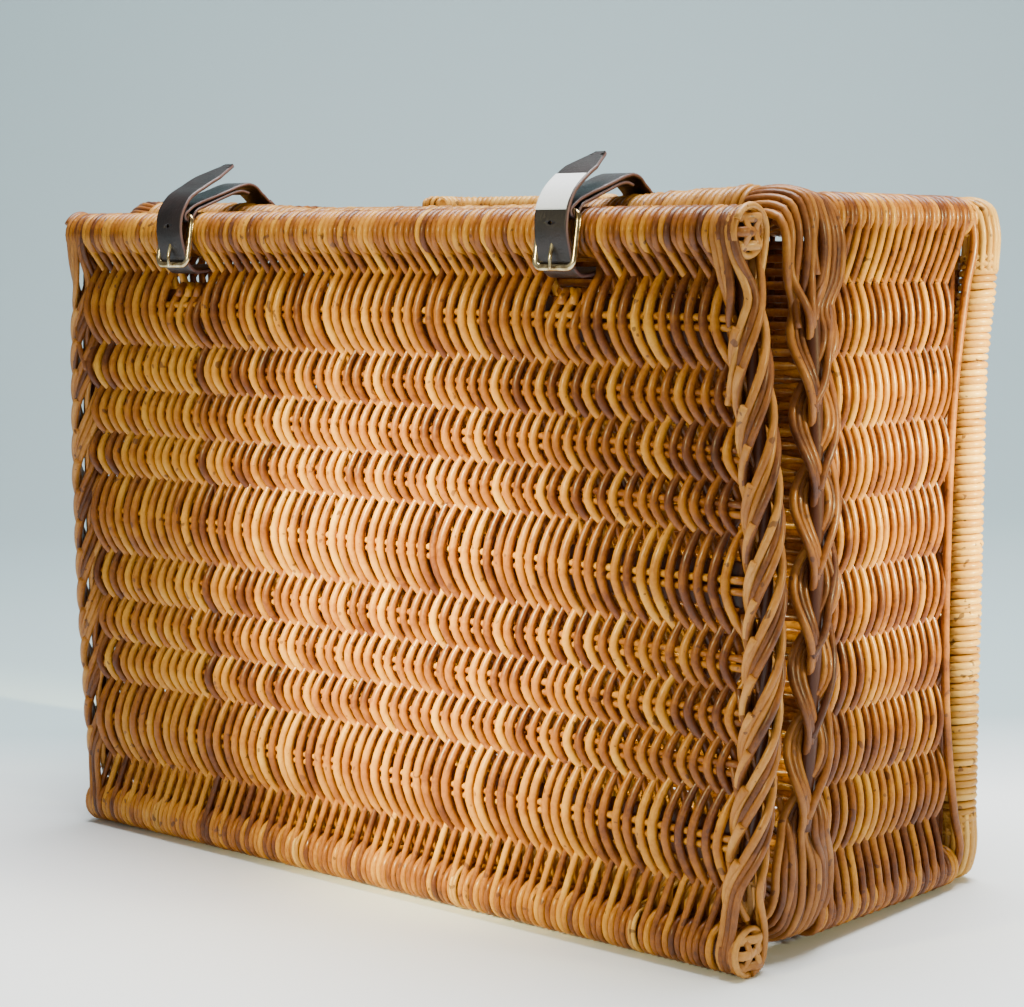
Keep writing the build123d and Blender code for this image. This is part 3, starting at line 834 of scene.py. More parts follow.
def body_weave():
    """Weavers that run right round the body, shared out between its walls and corners."""
    bundles = {}
    for index in range(BODY_STRANDS):
        parity = 1 if index % 2 else -1
        thick = 1.08 * CANE * random.normal(1, 0.04)
        for side in ("right", "left"):
            sign = SIGNS[side]
            for name, path in body_weaver(index, sign * parity, sign * BODY_SLANT).items():
                is_long = name in ("top_wall", "bottom_wall")
                if not is_long and index not in SIDE_STRANDS:
                    continue
                radius = thick + INNER_EXTRA * np.clip(inward(name, path) / WALL_SWING, 0, 1)
                path = mirrored(path) if side == "left" else bulged(path)
                bundle = bundles.setdefault(name if is_long else name + "_" + side, Bundle())
                bundle.add(path, radius, across=ALONG_Y, finish=BODY_FINISHES[index], caps=False)
    wall_stakes(bundles)
    for side in ("left", "right"):
        side_uprights(bundles["side_wall_" + side], SIGNS[side])
    for end in ("top", "bottom"):
        for side in ("left", "right"):
            corner_post(bundles["corner_post_" + end + "_" + side], end, side)
    for key, bundle in bundles.items():
        name = key.replace("corner_post", "corner_weave")
        piece_name = name if name != key else key + "_woven"
        bundle.piece(piece_name, "hamper", WOVEN, body_place, [key])


def lay_stake(bundle, x, height, radius, sides=7, finish=None):
    """A stake from the rim towards the base."""
    depths = np.linspace(30, 199, 20)
    path = bulged(np.stack((np.full(20, x), depths, np.full(20, height)), axis=-1))
    bundle.add(path, radius, sides=sides, finish=finish)


def wall_stakes(bundles):
    """Pairs of thin stakes inside every row of the walls."""
    for apart in (-STAKE_SPREAD, STAKE_SPREAD):
        for row in range(SIDE_ROWS):
            height = SIDE_TOP - (row + 0.5) * SIDE_ROW + apart
            for side, sign in SIGNS.items():
                lay_stake(bundles["side_wall_" + side], sign * (SIDE_MIDDLE + 1.2), height, LID_STAKE)
        for row in range(LONG_ROWS):
            for sign in (-1, 1):
                x = sign * (row + 0.5) * ROW + apart
                lay_stake(bundles["top_wall"], x, TOP_MIDDLE, STAKE)
                lay_stake(bundles["bottom_wall"], x, BOTTOM_MIDDLE, STAKE)


def side_uprights(bundle, sign):
    """The bowed cane outside a side wall beside its binding, and the plain ones behind it."""
    bowed = curve_through(BOWED_CANE, 6.0) * (sign, 1, 1)
    bundle.add(bowed, 2.9, across=ALONG_Y, finish=(0.35, 0.5, 0.0))
    for depth in INNER_DEPTHS:
        path = [(sign * INNER_X, depth, height) for height in (28, 226, 424)]
        bundle.add(path, 2.5, across=ALONG_Y, finish=(-0.2, 0.5, 0.0))


def corner_post(bundle, end, side):
    """A rod inside a corner, wrapped wherever no weaver passes outside it."""
    x = SIGNS[side] * POST_X
    height = BODY_HEIGHT - POST_RISE if end == "top" else POST_RISE
    lay_stake(bundle, x, height, 8.8, sides=14, finish=(0.1, 0.5, 0.0))
    for index in range(SIDE_STRANDS.start, POST_WRAPS):
        depth = FIRST_DEPTH + PITCH * index + CORNER_SHIFT[1 if end == "top" else -1]
        outside = (index % 2 == 1) == (side == "right")
        if end == "bottom":
            outside = not outside
        if index not in SIDE_STRANDS or not outside:
            bundle.add(depth_ring(x, height, depth), 2.5, across=ALONG_Y, closed=True,
                       finish=BODY_FINISHES[index])


def depth_ring(x, height, depth):
    """A closed ring round an axis along the body's depth."""
    points = arc((x, height), POST_RING - 0.4, 0, 360, 21)[:-1]
    turn = full_turn(20) + random.normal(0, 0.3)
    return np.stack((points[:, 0], depth + 0.6 * np.sin(turn), points[:, 1]), axis=-1)


# Rim of the body

RIM_ROLL = 17.0
RIM_REACH = 272.0
RIM_RING = RIM_ROLL - 2.7
RIM_SAG = ((-300, -250, -195, -160, -120, 90, 150, 185, 230, 272, 300),
           (0, -1, -1.5, -3, -6, -6, -2.5, -0.3, 2, 4, 4))
PLAIT = 150.0                 # height after which the rim's plait repeats
PLAIT_DEPTH = 24.0
PLAIT_HALF_WIDTH = 12.5
PLAIT_X = 305.5
PLAIT_CANES = [(strand, cane) for strand in range(3) for cane in (-1, 0, 1)]
CORNER_REACH = 74.0           # height over which the plait's canes straighten at each end
CORNER_CANES = 11
CUT_CANES = {2: 66.0, 5: 38.0}    # canes of a corner that end this far round it


def rim_roll(name, height, node):
    """Bound roll along one long side of the rim; the upper one sags in the middle."""
    canes = Bundle()
    places = np.linspace(-RIM_REACH - 6, RIM_REACH + 6, 50)
    upper = height > BODY_HEIGHT / 2
    sag = np.interp(places, *RIM_SAG) * upper
    core = np.stack((places, np.full(50, RIM_ROLL), height + sag), axis=-1)
    canes.add(core, RIM_RING - 3.0, sides=16, across=ALONG_Y, finish=(0.0, 0.0, 0.0))
    for x in np.linspace(-RIM_REACH, RIM_REACH, 113):
        near_hinge = any(abs(x - place) < PITCH * 0.8 for place in RING_PLACES)
        if upper or not near_hinge:
            level = height + float(np.interp(x, *RIM_SAG)) * upper + 0.3 * random.normal()
            canes.add(ring(x, (RIM_ROLL, level), RIM_RING, tilt=1.6), 2.6 * random.normal(1, 0.05),
                      closed=True)
    canes.piece(name, "hamper", ROLLED, body_place, [node])


def plaited(heights, strand, cane):
    """Place across and out from the border of one of nine canes, three to each plaited strand."""
    turn = 2 * math.pi * (heights / PLAIT + strand / 3)
    lie = np.arctan(PLAIT_HALF_WIDTH * np.cos(turn) * 2 * math.pi / PLAIT)
    return (PLAIT_HALF_WIDTH * np.sin(turn) + cane * 4.8 * np.cos(lie),
            5.5 * np.sin(2 * turn) + 1.2 * cane * np.cos(turn))


def corner_ranks(height):
    """The plait's canes in order across it, with the places they have in a corner's fan."""
    order = sorted(PLAIT_CANES, key=lambda cane: float(plaited(height, *cane)[0]))
    places = [rank for rank in range(CORNER_CANES) if rank not in CUT_CANES]
    return dict(zip(order, places))


def corner_cane(rank, end, sign):
    """Start of a border cane: along the rim roll, bare over the corner and down the side."""
    share = rank / (CORNER_CANES - 1)
    around = math.radians(184 - 160 * share**0.9)
    middle = BODY_HEIGHT - RIM_ROLL
    rise = math.sin(around) if around > math.pi / 2 else 1.0
    lift = 4.0 * (1 - share**2) if end > 0 and sign > 0 else 0.0
    hidden = (RIM_ROLL + 12.0 * math.cos(around), middle + 12.0 * math.sin(around) + lift * 0.7)
    bare_depth = RIM_ROLL + 15.0 * math.cos(around)
    bare_h = middle + 14.6 * rise + lift
    depth = 2.0 + 49.0 * share
    bend = 9 + 7 * share if end > 0 else 17 + 10 * share
    outer = 304 + 4.5 * float(ease(share * 2.3))
    if end < 0:
        outer += random.normal(0, 0.9)
    path = np.array(((252, *hidden), (268, *hidden), (281, bare_depth, bare_h),
                     (outer - bend, bare_depth + 0.6 * (depth - bare_depth), bare_h),
                     (outer - 0.3 * bend, bare_depth + 0.9 * (depth - bare_depth), bare_h - 0.3 * bend),
                     (outer, depth, bare_h - bend), (outer, depth, BODY_HEIGHT - 50)))
    if rank in CUT_CANES:
        low = bare_h - bend - CUT_CANES[rank]
        tip = outer + 2.0 if end > 0 else outer - 8.0
        path = np.concatenate((path[:-1], ((outer, depth, low + 18), (tip, depth + 1, low))))
    if end < 0:
        path[:, 2] = BODY_HEIGHT - path[:, 2]
    path[:, 0] *= sign
    return path


def rim_shade_finish():
    """Finish of one of the darker canes of the rim, its tone lowered as painted shade for the shade the
    plait lies in.
    """
    tone, shade, start = fresh_finish()
    return 0.8 * tone - 0.38, shade, start


def rim_border(side):
    """Bare canes that leave the rim rolls, turn the corners and are plaited down the side."""
    canes = Bundle()
    sign = SIGNS[side]
    heights = np.arange(BODY_HEIGHT - CORNER_REACH, CORNER_REACH - 1, -6.0)
    high_ranks = corner_ranks(heights[0])
    low_ranks = corner_ranks(heights[-1])
    for cane in PLAIT_CANES:
        across, outward = plaited(heights, *cane)
        middle = np.stack((sign * (PLAIT_X + outward), PLAIT_DEPTH + across, heights), axis=-1)
        top = corner_cane(high_ranks[cane], 1, sign)
        bottom = corner_cane(low_ranks[cane], -1, sign)[::-1]
        path = curve_through(np.concatenate((top, middle, bottom)), 5.0)
        path[:, 1] += 0.5 * np.sin(path[:, 2] / 21 + random.random() * 6)
        # painted shade: the plait's canes take the rim's darkened finish
        canes.add(bulged(path), 2.5 * random.normal(1.02, 0.06), across=ALONG_Y,
                  finish=rim_shade_finish())
    for rank in CUT_CANES:
        for end in (1, -1):
            path = curve_through(corner_cane(rank, end, sign), 4.0)
            canes.add(path, 2.5, across=ALONG_Y, finish=rim_shade_finish())
    # the plait's core has the painted-shadow finish, so it shows dark between the canes
    core = np.column_stack((np.full(len(heights), sign * PLAIT_X),
                            np.full(len(heights), PLAIT_DEPTH), heights))
    canes.add(bulged(core), 5.0, across=ALONG_Y, sides=12, finish=PAINTED_SHADOW_CORE)
    rim_tips(canes, sign)
    canes.piece("rim_plait_woven_" + side, "hamper", PLAITED, body_place, ["rim_plait_" + side])


def rim_tips(canes, sign):
    """Stakes that come out of the side wall and end, cut short, in the plait."""
    for number, height in enumerate(np.arange(92, 400, 25.0)):
        face = 1 if number % 2 else -1
        lean = random.normal(0, 2)
        points = [(PLAIT_X - 5, 46, height + 34), (PLAIT_X + face * 3, 40, height + 18),
                  (PLAIT_X + face * 7.5, 32 + lean, height - 2), (PLAIT_X + face * 7.5, 23, height - 22),
                  (PLAIT_X + face * 5.5, 17 + lean, height - 34)]
        path = curve_through(points, 4.0)
        path = bulged(path) if sign > 0 else mirrored(path)
        # painted shade: the tips take the rim's darkened finish
        canes.add(path, 2.5 * random.normal(1, 0.06), across=ALONG_Y, finish=rim_shade_finish())


# Base of the body

BASE_DEPTH = BODY_DEPTH - BASE_ROLL
BASE_RING = BASE_ROLL - 2.7
BASE_X = 295.0
BINDING_LOW = 34.0
BINDING_HIGH = 420.0
BINDING_TURN = 4.7            # from one turn of the binding to the next
BACK_ROWS = 13
BACK_REACH = 286.0
BACK_SWING = 3.0


def binding_axis(sign, height):
    """Middle of a binding, which leans outward near its top."""
    flare = ease((np.asarray(height, float) - 330) / 100)
    return sign * (BASE_X + 4.0 * flare), BASE_DEPTH + 5.0 * flare


def base_binding(side):
    """Upright roll bound with pale cane, with bare canes turning over at both its ends."""
    canes = Bundle()
    sign = SIGNS[side]
    core = [(*binding_axis(sign, h), h) for h in np.linspace(16, BODY_HEIGHT - 16, 20)]
    canes.add(core, BASE_RING - 2.0, sides=16, finish=(0.0, 0.0, 0.0))
    count = round((BINDING_HIGH - BINDING_LOW) / BINDING_TURN)
    for height in np.linspace(BINDING_LOW, BINDING_HIGH, count):
        points = arc(binding_axis(sign, height), BASE_RING, 0, 360, 23)[:-1]
        turn = full_turn(22)
        level = height + 1.3 * np.cos(turn + random.normal(0, 0.2)) + random.normal(0, 0.2)
        path = np.column_stack((points, level))
        canes.add(path, 2.5 * random.normal(1, 0.07), across=ALONG_Z, closed=True)
    for around in np.arange(-150, 100, 24.0):
        for end in (1, -1):
            add_binding_end(canes, sign, end, math.radians(around))
    canes.piece("base_binding_wrapped_" + side, "hamper", STRAW, body_place,
                ["base_binding_" + side], slot="binding_cane")


def add_binding_end(canes, sign, end, around):
    """A bare cane that comes along a long wall, turns the corner and runs under the binding."""
    ring_out = BASE_RING + 0.2
    middle_x, middle_depth = binding_axis(sign, BODY_HEIGHT if end > 0 else 0)
    x = middle_x + sign * ring_out * math.cos(around)
    depth = middle_depth + ring_out * math.sin(around)
    edge = BODY_HEIGHT / 2 + end * (BODY_HEIGHT / 2 - 2.6)
    lift = 9 * (1 - math.cos(around)) / 2
    hidden_x = sign * (BASE_X - 22)
    turn = end * (10 + 2 * math.cos(around))
    points = [(x, depth, BODY_HEIGHT / 2 + end * (BODY_HEIGHT / 2 - 48)),
              (x, depth, edge - turn * 1.3 - end * lift),
              (x - sign * 4, depth, edge - turn * 0.4 - end * lift),
              (x - sign * 12, depth, edge - end * (lift + 0.5)),
              (hidden_x, depth, edge - end * (lift + 1))]
    canes.add(curve_through(points, 4.0), CANE, across=ALONG_Y)


def base_roll(name, height, node):
    canes = Bundle()
    core = [(x, BASE_DEPTH, height) for x in np.linspace(-284, 284, 20)]
    canes.add(core, BASE_RING - 1.5, sides=16, across=ALONG_Z, finish=(0.0, 0.0, 0.0))
    for x in np.linspace(-279, 279, 112):
        canes.add(ring(x, (BASE_DEPTH, height), BASE_RING, tilt=1.2), 2.5 * random.normal(1, 0.04),
                  closed=True)
    canes.piece(name, "hamper", ROLLED, body_place, [node])


def base_panel():
    """The woven back, whose weavers run lengthwise between the two bindings."""
    canes = Bundle()
    middle = BODY_DEPTH - 12.0
    step = 2 * BACK_REACH / BACK_ROWS
    for index, home in enumerate(np.arange(29, BODY_HEIGHT - 28, PITCH)):
        row_side = 1 if index % 2 else -1
        points = []
        for row in range(BACK_ROWS):
            place = -BACK_REACH + step * (row + ROW_STEPS)
            out = weave_row(ROW_STEPS, row_side, BACK_SWING * random.normal(1, 0.05))
            points.append(np.stack((place, middle + out, np.full(len(place), home)), axis=-1))
            row_side = -row_side
        points.append([[BACK_REACH, middle, home]])
        canes.add(np.concatenate(points), 3.0, across=ALONG_Z, sides=8, flat=0.75)
    for row in range(BACK_ROWS):
        for apart in (-STAKE_SPREAD, STAKE_SPREAD):
            x = -BACK_REACH + (row + 0.5) * step + apart
            path = [(x, middle, h) for h in np.linspace(18, BODY_HEIGHT - 18, 12)]
            canes.add(path, STAKE, sides=7)
    canes.piece("base_weave", "hamper", WOVEN, body_place, ["base_panel"])


# Hinge rings

HINGE_LOOP = 14.2             # radius of a loop round either roll


def hinge_rings():
    """Loops of cane round the two bottom rolls, which the lid turns in."""
    canes = Bundle()
    lid_axis = np.array((0.0, HINGE.z / MM))
    rim_axis = np.array(body_place @ (Vector((0, RIM_ROLL, RIM_ROLL)) * MM))[1:] / MM
    rim_axis[0] -= HINGE.y / MM
    apart = rim_axis - lid_axis
    tilt = math.degrees(math.atan2(apart[1], apart[0]))
    for x in RING_PLACES:
        for shift in (-1.5, 1.5):
            outline = np.concatenate((arc(lid_axis, HINGE_LOOP, tilt + 90, tilt + 270, 14),
                                      arc(rim_axis, HINGE_LOOP, tilt - 90, tilt + 90, 14)))
            path = np.column_stack((np.full(len(outline), x + shift), outline))
            canes.add(path, 1.6, closed=True)
    canes.piece("hinge_ring_canes", "hamper", STRAW, strap_place, ["hinge_rings"],
                slot="binding_cane")


# Handle

HANDLE_HALF = 72.0
HANDLE_REACH = 38.0
HANDLE_DEPTH = 102.0
HANDLE_RISE = BODY_HEIGHT - 3.0
HANDLE_CORNER = 18.0
HANDLE_BINDING = 5.2          # radius at which its binding runs
HANDLE_TURN = 4.6             # from one turn of the binding to the next


def handle_line():
    """Middle line of the bail, folded back on the top wall."""
    far = HANDLE_DEPTH + HANDLE_REACH
    turn = arc((HANDLE_HALF - HANDLE_CORNER, far - HANDLE_CORNER), HANDLE_CORNER, 0, 90, 9)
    right = np.concatenate(([[HANDLE_HALF, HANDLE_DEPTH + 7]], turn, [[0, far]]))
    left = right[::-1] * np.array((-1, 1))
    line = np.concatenate((right, left[1:]))
    return curve_through(np.column_stack((line, np.full(len(line), HANDLE_RISE))), 3.0)


def handle():
    """Bail bound with flat cane, with an eye at each end."""
    canes = Bundle()
    line = handle_line()
    canes.add(line, 4.8, across=ALONG_Z, sides=12, finish=(0.2, 0.2, 0.0))
    along = directions(line)
    lengths = distances(line)
    count = round(lengths[-1] / HANDLE_TURN)
    for place in np.linspace(1, lengths[-1] - 1, count):
        centre = [np.interp(place, lengths, line[:, axis]) for axis in range(3)]
        ahead = np.array([np.interp(place, lengths, along[:, axis]) for axis in range(3)])
        across = np.cross(ahead, ALONG_Z)
        turn = full_turn(16)
        points = (np.array(centre) + HANDLE_BINDING * np.cos(turn)[:, None] * across
                  + HANDLE_BINDING * np.sin(turn)[:, None] * np.array(ALONG_Z)
                  + 1.3 * np.cos(turn + 0.6)[:, None] * ahead)
        canes.add(points, 2.4, across=ahead, closed=True, flat=0.55)
    for x in (-HANDLE_HALF, HANDLE_HALF):
        for shift in (-2.4, 2.4):
            eye = ring(x + shift, (HANDLE_DEPTH, HANDLE_RISE), 4.9, tilt=0.3, steps=14)
            canes.add(eye, 1.5, closed=True)
    canes.piece("handle_bound", "handle", STRAW, body_place, ["handle"], slot="binding_cane")


def handle_loops():
    """Cane staples on the top wall, each with a pin through one eye of the handle."""
    canes = Bundle()
    for x in (-HANDLE_HALF, HANDLE_HALF):
        pin = [(x + reach, HANDLE_DEPTH, HANDLE_RISE) for reach in (-8, -3, 3, 8)]
        canes.add(pin, 2.8, sides=12, across=ALONG_Z)
        for reach in (-6.7, 6.7):
            foot = arc((HANDLE_DEPTH, HANDLE_RISE), 3.4, -20, 200, 9).tolist()
            foot = [(HANDLE_DEPTH + 5, 444), (HANDLE_DEPTH + 3.6, 450)] + foot
            foot += [(HANDLE_DEPTH - 3.6, 450), (HANDLE_DEPTH - 5, 444)]
            path = np.column_stack((np.full(len(foot), x + reach), foot))
            canes.add(curve_through(path, 1.5), 1.6, sides=8)
    canes.piece("handle_loop_canes", "hamper", STRAW, body_place, ["handle_loops"],
                slot="binding_cane")


# Straps

LEATHER_THICKNESS = 2.6
CHAPE_THICKNESS = 2.3
TONGUE_WIDTH = 26.0
TIP_WIDTH = 8.5
POINT_START = 483.5           # height at which a tongue's point begins
CHAPE_WIDTH = 24.0
LABEL_WIDTH = 24.4
TONGUE_LOW_LINE = ((13, 421.5), (0, 418.3), (-9, 418.6), (-15.3, 424), (-18.7, 434), (-20.8, 446),
                   (-19.4, 457.5))
TONGUE_LINES = {"left": TONGUE_LOW_LINE + ((-12, 468.5), (4, 477.5), (38, 492)),
                "right": TONGUE_LOW_LINE + ((-13, 468.5), (0, 478.5), (28, 492))}
CHAPE_TOP_LINE = ((-7, 463.8), (2, 467), (14, 470.4), (27, 474.2), (38, 477.4), (46, 478.4),
                  (53, 476), (57.5, 471.8), (61, 469.2))
CHAPE_UNDER_LINE = ((-9.9, 458.6), (-4, 461.1), (4, 463.9), (14, 467.2), (24, 470.4), (33, 473),
                    (39, 473.6), (45, 472))
LABEL_SPAN = (0.52, 0.755)    # part of the right tongue's length under the label
HEEL_BAR = (-12.5, 457.0)
FAR_BAR = (-19.0, 423.5)
BUCKLE_SIDE = 15.3
PRONG_LINE = ((-13.9, 454.4), (-17.0, 446), (-20.4, 436), (-22.5, 429), (-22.6, 422.6))


def strip_line(points, step=1.6):
    """A (y, z) line as smooth 3-D points at x = 0."""
    return curve_through([(0, y, z) for y, z in points], step)


def ribbon_mesh(name, line, width, thickness, x, material):
    """A strip with softened edges. width may change along it; the edge faces are marked."""
    count = len(line)
    width = np.broadcast_to(np.asarray(width, float), (count,))
    normal = np.cross(np.array(ALONG_X), directions(line))
    soft = min(0.7, thickness * 0.3)
    half = thickness / 2
    inside = (-0.5, -0.25, 0.0, 0.25, 0.5)
    points = []
    edge = []
    for ring_index in range(count):
        w = width[ring_index] / 2
        section = [(-w, half - soft, 1), (-w + soft, half, 0)]
        section += [(2 * w * share * 0.9, half, 0) for share in inside]
        section += [(w - soft, half, 0), (w, half - soft, 1), (w, -half + soft, 1),
                    (w - soft, -half, 0)]
        section += [(2 * w * share * 0.9, -half, 0) for share in inside[::-1]]
        section += [(-w + soft, -half, 0), (-w, -half + soft, 1)]
        for sideways, out, mark in section:
            points.append(line[ring_index] + normal[ring_index] * out
                          + np.array((x + sideways, 0, 0)))
            edge.append(mark)
    sides = len(points) // count
    faces = tube_faces(count, sides)[:, [0, 3, 2, 1]].tolist()
    faces.append(tuple(range(sides))[::-1])
    faces.append(tuple((count - 1) * sides + j for j in range(sides)))
    mesh = bpy.data.meshes.new(name)
    mesh.from_pydata((np.array(points) * MM).tolist(), [], faces)
    mesh.polygons.foreach_set("use_smooth", [True] * (len(faces) - 2) + [False] * 2)
    layer = mesh.attributes.new("edge", "FLOAT", "POINT")
    layer.data.foreach_set("value", np.array(edge, np.float32))
    mesh.transform(strap_place)
    mesh.materials.append(material)
    return mesh


def drill(piece, x, y, z, radius):
    """Cuts a round hole along Y through a piece."""
    bpy.ops.mesh.primitive_cylinder_add(vertices=20, radius=radius * MM, depth=6.0 * MM,
                                        location=(x * MM, HINGE.y + y * MM, z * MM),
                                        rotation=(math.pi / 2, 0, 0))
    cutter = bpy.context.object
    modifier = piece.modifiers.new("hole", "BOOLEAN")
    modifier.operation = "DIFFERENCE"
    modifier.solver = "EXACT"
    modifier.object = cutter
    bpy.context.view_layer.update()
    graph = bpy.context.evaluated_depsgraph_get()
    mesh = bpy.data.meshes.new_from_object(piece.evaluated_get(graph))
    piece.modifiers.remove(modifier)
    piece.data = mesh
    bpy.data.objects.remove(cutter)


def tongue(side):
    """Pointed strap end that comes out of the lid's slot and up through the buckle."""
    line = strip_line(TONGUE_LINES[side])
    heights = line[:, 2]
    tip = line[-1][2]
    point = np.clip((heights - POINT_START) / (tip - POINT_START), 0, 1)
    width = TONGUE_WIDTH - (TONGUE_WIDTH - TIP_WIDTH) * point
    width[heights < 470] += 0.25 * np.sin(np.arange((heights < 470).sum()) / 3)
    mesh = ribbon_mesh("tongue_leather_" + side, line, width, LEATHER_THICKNESS, STRAPS[side],
                       LEATHER)
    piece = finish_piece(mesh, mesh.name, "lid", ["tongue_" + side])
    drill(piece, STRAPS[side], -21, 450.5, 1.4)


def chape(side):
    """Doubled strap that carries the buckle and bends over both rolls."""
    heel = arc(HEEL_BAR, 3.1, 100, 292, 12)
    anchor = arc_on_rim(62, 34)
    top = [*heel[:1].tolist(), *CHAPE_TOP_LINE]
    fold = list(CHAPE_UNDER_LINE[1:])[::-1] + heel[::-1].tolist()
    outline = curve_through([(0, y, z) for y, z in fold], 1.6)
    upper = curve_through([(0, y, z) for y, z in [*top, *anchor]], 1.6)
    line = np.concatenate((outline, upper[1:]))
    mesh = ribbon_mesh("chape_leather_" + side, line, CHAPE_WIDTH, CHAPE_THICKNESS, STRAPS[side],
                       LEATHER)
    piece = finish_piece(mesh, mesh.name, None, ["chape_" + side])
    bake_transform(piece)


def arc_on_rim(start, end, steps=5):
    """Line (y, z) of a strap lying on the back of the rim's top roll."""
    radius = RIM_ROLL + 0.6 + LEATHER_THICKNESS / 2
    points = arc((RIM_ROLL, BODY_HEIGHT - RIM_ROLL), radius, start, end, steps)
    placed = [body_place @ (Vector((0, d, h)) * MM) for d, h in points]
    return [((p.y - HINGE.y) / MM, p.z / MM) for p in placed]


def strap_anchor(side):
    points = arc_on_rim(60, -30, 9)
    low = points[-1]
    points.append((low[0] - 3, low[1] - 9))
    mesh = ribbon_mesh("strap_anchor_leather_" + side, strip_line(points), TONGUE_WIDTH,
                       LEATHER_THICKNESS, STRAPS[side], LEATHER)
    finish_piece(mesh, mesh.name, "hamper", ["strap_anchor_" + side])


def buckle(side):
    """Brass frame with rounded corners."""
    x = STRAPS[side]
    heel = np.array(HEEL_BAR)
    far = np.array(FAR_BAR)
    length = np.linalg.norm(far - heel)
    down = (far - heel) / length
    corner = 5.0
    low = arc((BUCKLE_SIDE - corner, length - corner), corner, 0, 90, 7)
    high = arc((BUCKLE_SIDE - corner, corner), corner, -90, 0, 7)
    right = np.concatenate((high, low))
    outline = np.concatenate((right, right[::-1] * np.array((-1, 1))))
    points = [(x + a, *(heel + down * b)) for a, b in outline]
    frame_bar = Bundle()
    normal = (0.0, -down[1], down[0])
    frame_bar.add(points, 1.7, across=normal, closed=True, sides=12, flat=1.35)
    frame_bar.piece("buckle_frame_rounded_" + side, side + "_strap", BRASS, strap_place,
                    ["buckle_frame_" + side], slot="brass")


def prong(side):
    """Brass prong: a loop round the heel bar and a pin that rests on the far bar."""
    x = STRAPS[side]
    pin = Bundle()
    loop = arc(HEEL_BAR, 2.6, -60, 245, 14)
    pin.add([(x, y, z) for y, z in loop], 1.1, sides=10)
    line = curve_through([(x, y, z) for y, z in PRONG_LINE], 1.2)
    share = np.linspace(0, 1, len(line))
    pin.add(line, 1.75 - 0.75 * share**3, sides=12, flat=0.8)
    pin.piece("prong_pin_" + side, side + "_prong", BRASS, strap_place, ["prong_" + side],
              slot="brass")


def paper_label():
    """Blank paper label stuck on the right tongue."""
    line = strip_line(TONGUE_LINES["right"], 0.8)
    share = distances(line) / distances(line)[-1]
    part = line[(share > LABEL_SPAN[0]) & (share < LABEL_SPAN[1])]
    outward = -np.cross(np.array(ALONG_X), directions(part))
    if outward[0][1] > 0:
        outward = -outward
    lifted = part + outward * (LEATHER_THICKNESS / 2 + 0.22)
    mesh = ribbon_mesh("paper_label_blank", lifted, LABEL_WIDTH, 0.25, STRAPS["right"] - 0.3,
                       PAPER)
    finish_piece(mesh, mesh.name, "lid", ["paper_label"])


def straps():
    for side in ("left", "right"):
        tongue(side)
        chape(side)
        strap_anchor(side)
        buckle(side)
        prong(side)
        rivet = frame["nodes"]["chape_rivet_" + side]
        rivet.data.materials.clear()
        rivet.data.materials.append(BRASS)
    paper_label()


# Build

lid_weave()
lid_stakes()
lid_slats()
lid_roll("lid_roll_top_wrapped", LID_TOP, "lid_roll_top")
lid_roll("lid_roll_bottom_wrapped", 0, "lid_roll_bottom")
lid_knots()
for hand in ("left", "right"):
    lid_border(hand)
    rim_border(hand)
    base_binding(hand)
body_weave()
rim_roll("rim_roll_top_wrapped", BODY_HEIGHT - RIM_ROLL, "rim_roll_top")
rim_roll("rim_roll_bottom_wrapped", RIM_ROLL, "rim_roll_bottom")
base_roll("base_roll_top_wrapped", BODY_HEIGHT - BASE_ROLL, "base_roll_top")
base_roll("base_roll_bottom_wrapped", BASE_ROLL, "base_roll_bottom")
base_panel()
hinge_rings()
handle()
handle_loops()
straps()


# Camera

CAMERA_YAW = math.radians(41.63)
CAMERA_PITCH = math.radians(-7.45)
CAMERA_ROLL = math.radians(-1.17)
CAMERA_PLACE = (1.1194, HINGE.y - 1.1229, 0.4698)
CAMERA_LENS = 83.97


def make_camera():
    data = bpy.data.cameras.new("camera")
    data.lens = CAMERA_LENS
    data.sensor_width = 36
    camera = add_object("camera", data)
    bpy.context.scene.camera = camera
    camera.matrix_world = (Matrix.Translation(CAMERA_PLACE)
                           @ Matrix.Rotation(CAMERA_YAW, 4, "Z")
                           @ Matrix.Rotation(math.pi / 2 + CAMERA_PITCH, 4, "X")
                           @ Matrix.Rotation(CAMERA_ROLL, 4, "Z"))


# Stage and light

def stage_material():
    """Plain paper painted white under the hamper, where the floor is lit, and darker blue-grey beyond
    it, where the backdrop gets less light: painted light and shade.
    """
    material, tree, shader, place = new_material("stage")
    parts = tree.nodes.new("ShaderNodeSeparateXYZ")
    tree.links.new(place, parts.inputs[0])
    beyond = math_node(tree, "MULTIPLY_ADD", parts.outputs["Y"], math.cos(CAMERA_YAW),
                       math_node(tree, "MULTIPLY", parts.outputs["X"], -math.sin(CAMERA_YAW)))
    colour = ramp_node(tree, beyond, ((0.12, (0.91, 0.965, 0.98)), (0.40, (0.41, 0.54, 0.57))))
    tree.links.new(colour, shader["Base Color"])
    shader["Roughness"].default_value = 0.7
    return material


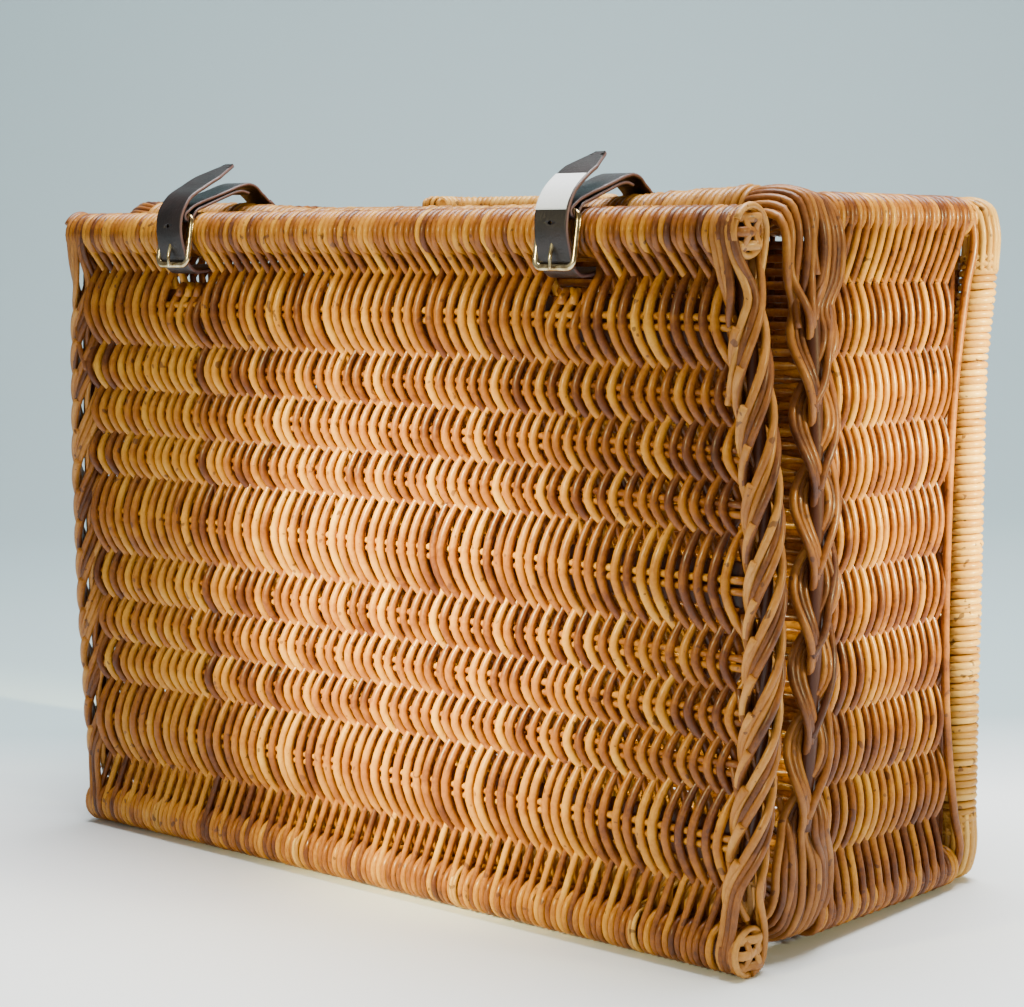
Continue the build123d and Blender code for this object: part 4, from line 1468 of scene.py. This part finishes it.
def make_stage():
    """A pale floor that turns up into a plain backdrop."""
    back, rise, bend = 2.6, 3.2, 0.9
    profile = [(-3.0, 0.0), (back - bend, 0.0)]
    turn = np.linspace(-math.pi / 2, 0, 13)[1:]
    profile += [(back - bend + bend * math.cos(t), bend + bend * math.sin(t)) for t in turn]
    profile.append((back, rise))
    half = 5.0
    aim = Matrix.Rotation(CAMERA_YAW, 4, "Z")
    points = [aim @ Vector((side * half, y, z)) for y, z in profile for side in (-1, 1)]
    faces = [(2 * i, 2 * i + 1, 2 * i + 3, 2 * i + 2) for i in range(len(profile) - 1)]
    mesh = bpy.data.meshes.new("stage")
    mesh.from_pydata(points, [], faces)
    mesh.polygons.foreach_set("use_smooth", [True] * len(faces))
    mesh.materials.append(stage_material())
    stage = add_object("stage", mesh)


def add_light(name, kind, place, aim, power):
    """A light that faces its aim."""
    data = bpy.data.lights.new(name, kind)
    data.energy = power
    light = add_object(name, data)
    light.location = place
    light.rotation_mode = "QUATERNION"
    light.rotation_quaternion = (Vector(aim) - Vector(place)).to_track_quat("-Z", "Y")
    return data


def spot_light(name, place, aim, power, angle, size):
    """A warm spot whose light fades gently from its middle to its rim."""
    data = add_light(name, "SPOT", place, aim, power)
    data.spot_size = math.radians(angle)
    data.spot_blend = 1.0
    data.shadow_soft_size = size
    data.color = (1.0, 0.90, 0.46)


def make_lights():
    spot_light("front", (-0.2, -1.85, 0.9), (0.06, -0.12, 0.20), 195, 22, 0.10)
    spot_light("front_middle", (-0.2, -1.65, 1.1), (0.02, -0.13, 0.20), 1200, 13, 0.05)
    spot_light("right", (2.0, 0.35, 0.85), (0.3, 0.05, 0.30), 110, 26, 0.14)
    spot_light("right_middle", (2.0, 0.35, 0.85), (0.31, 0.095, 0.29), 1100, 12, 0.05)
    top = add_light("top", "AREA", (0.2, 0.3, 2.6), (0, 0.2, 0), 190)
    top.shape = "DISK"
    top.size = 1.8
    world = bpy.data.worlds.new("world")
    bpy.context.scene.world = world
    world.use_nodes = True
    background = world.node_tree.nodes["Background"]
    background.inputs["Color"].default_value = (0.84, 0.83, 0.80, 1)
    background.inputs["Strength"].default_value = 0.30


make_camera()
make_stage()
make_lights()
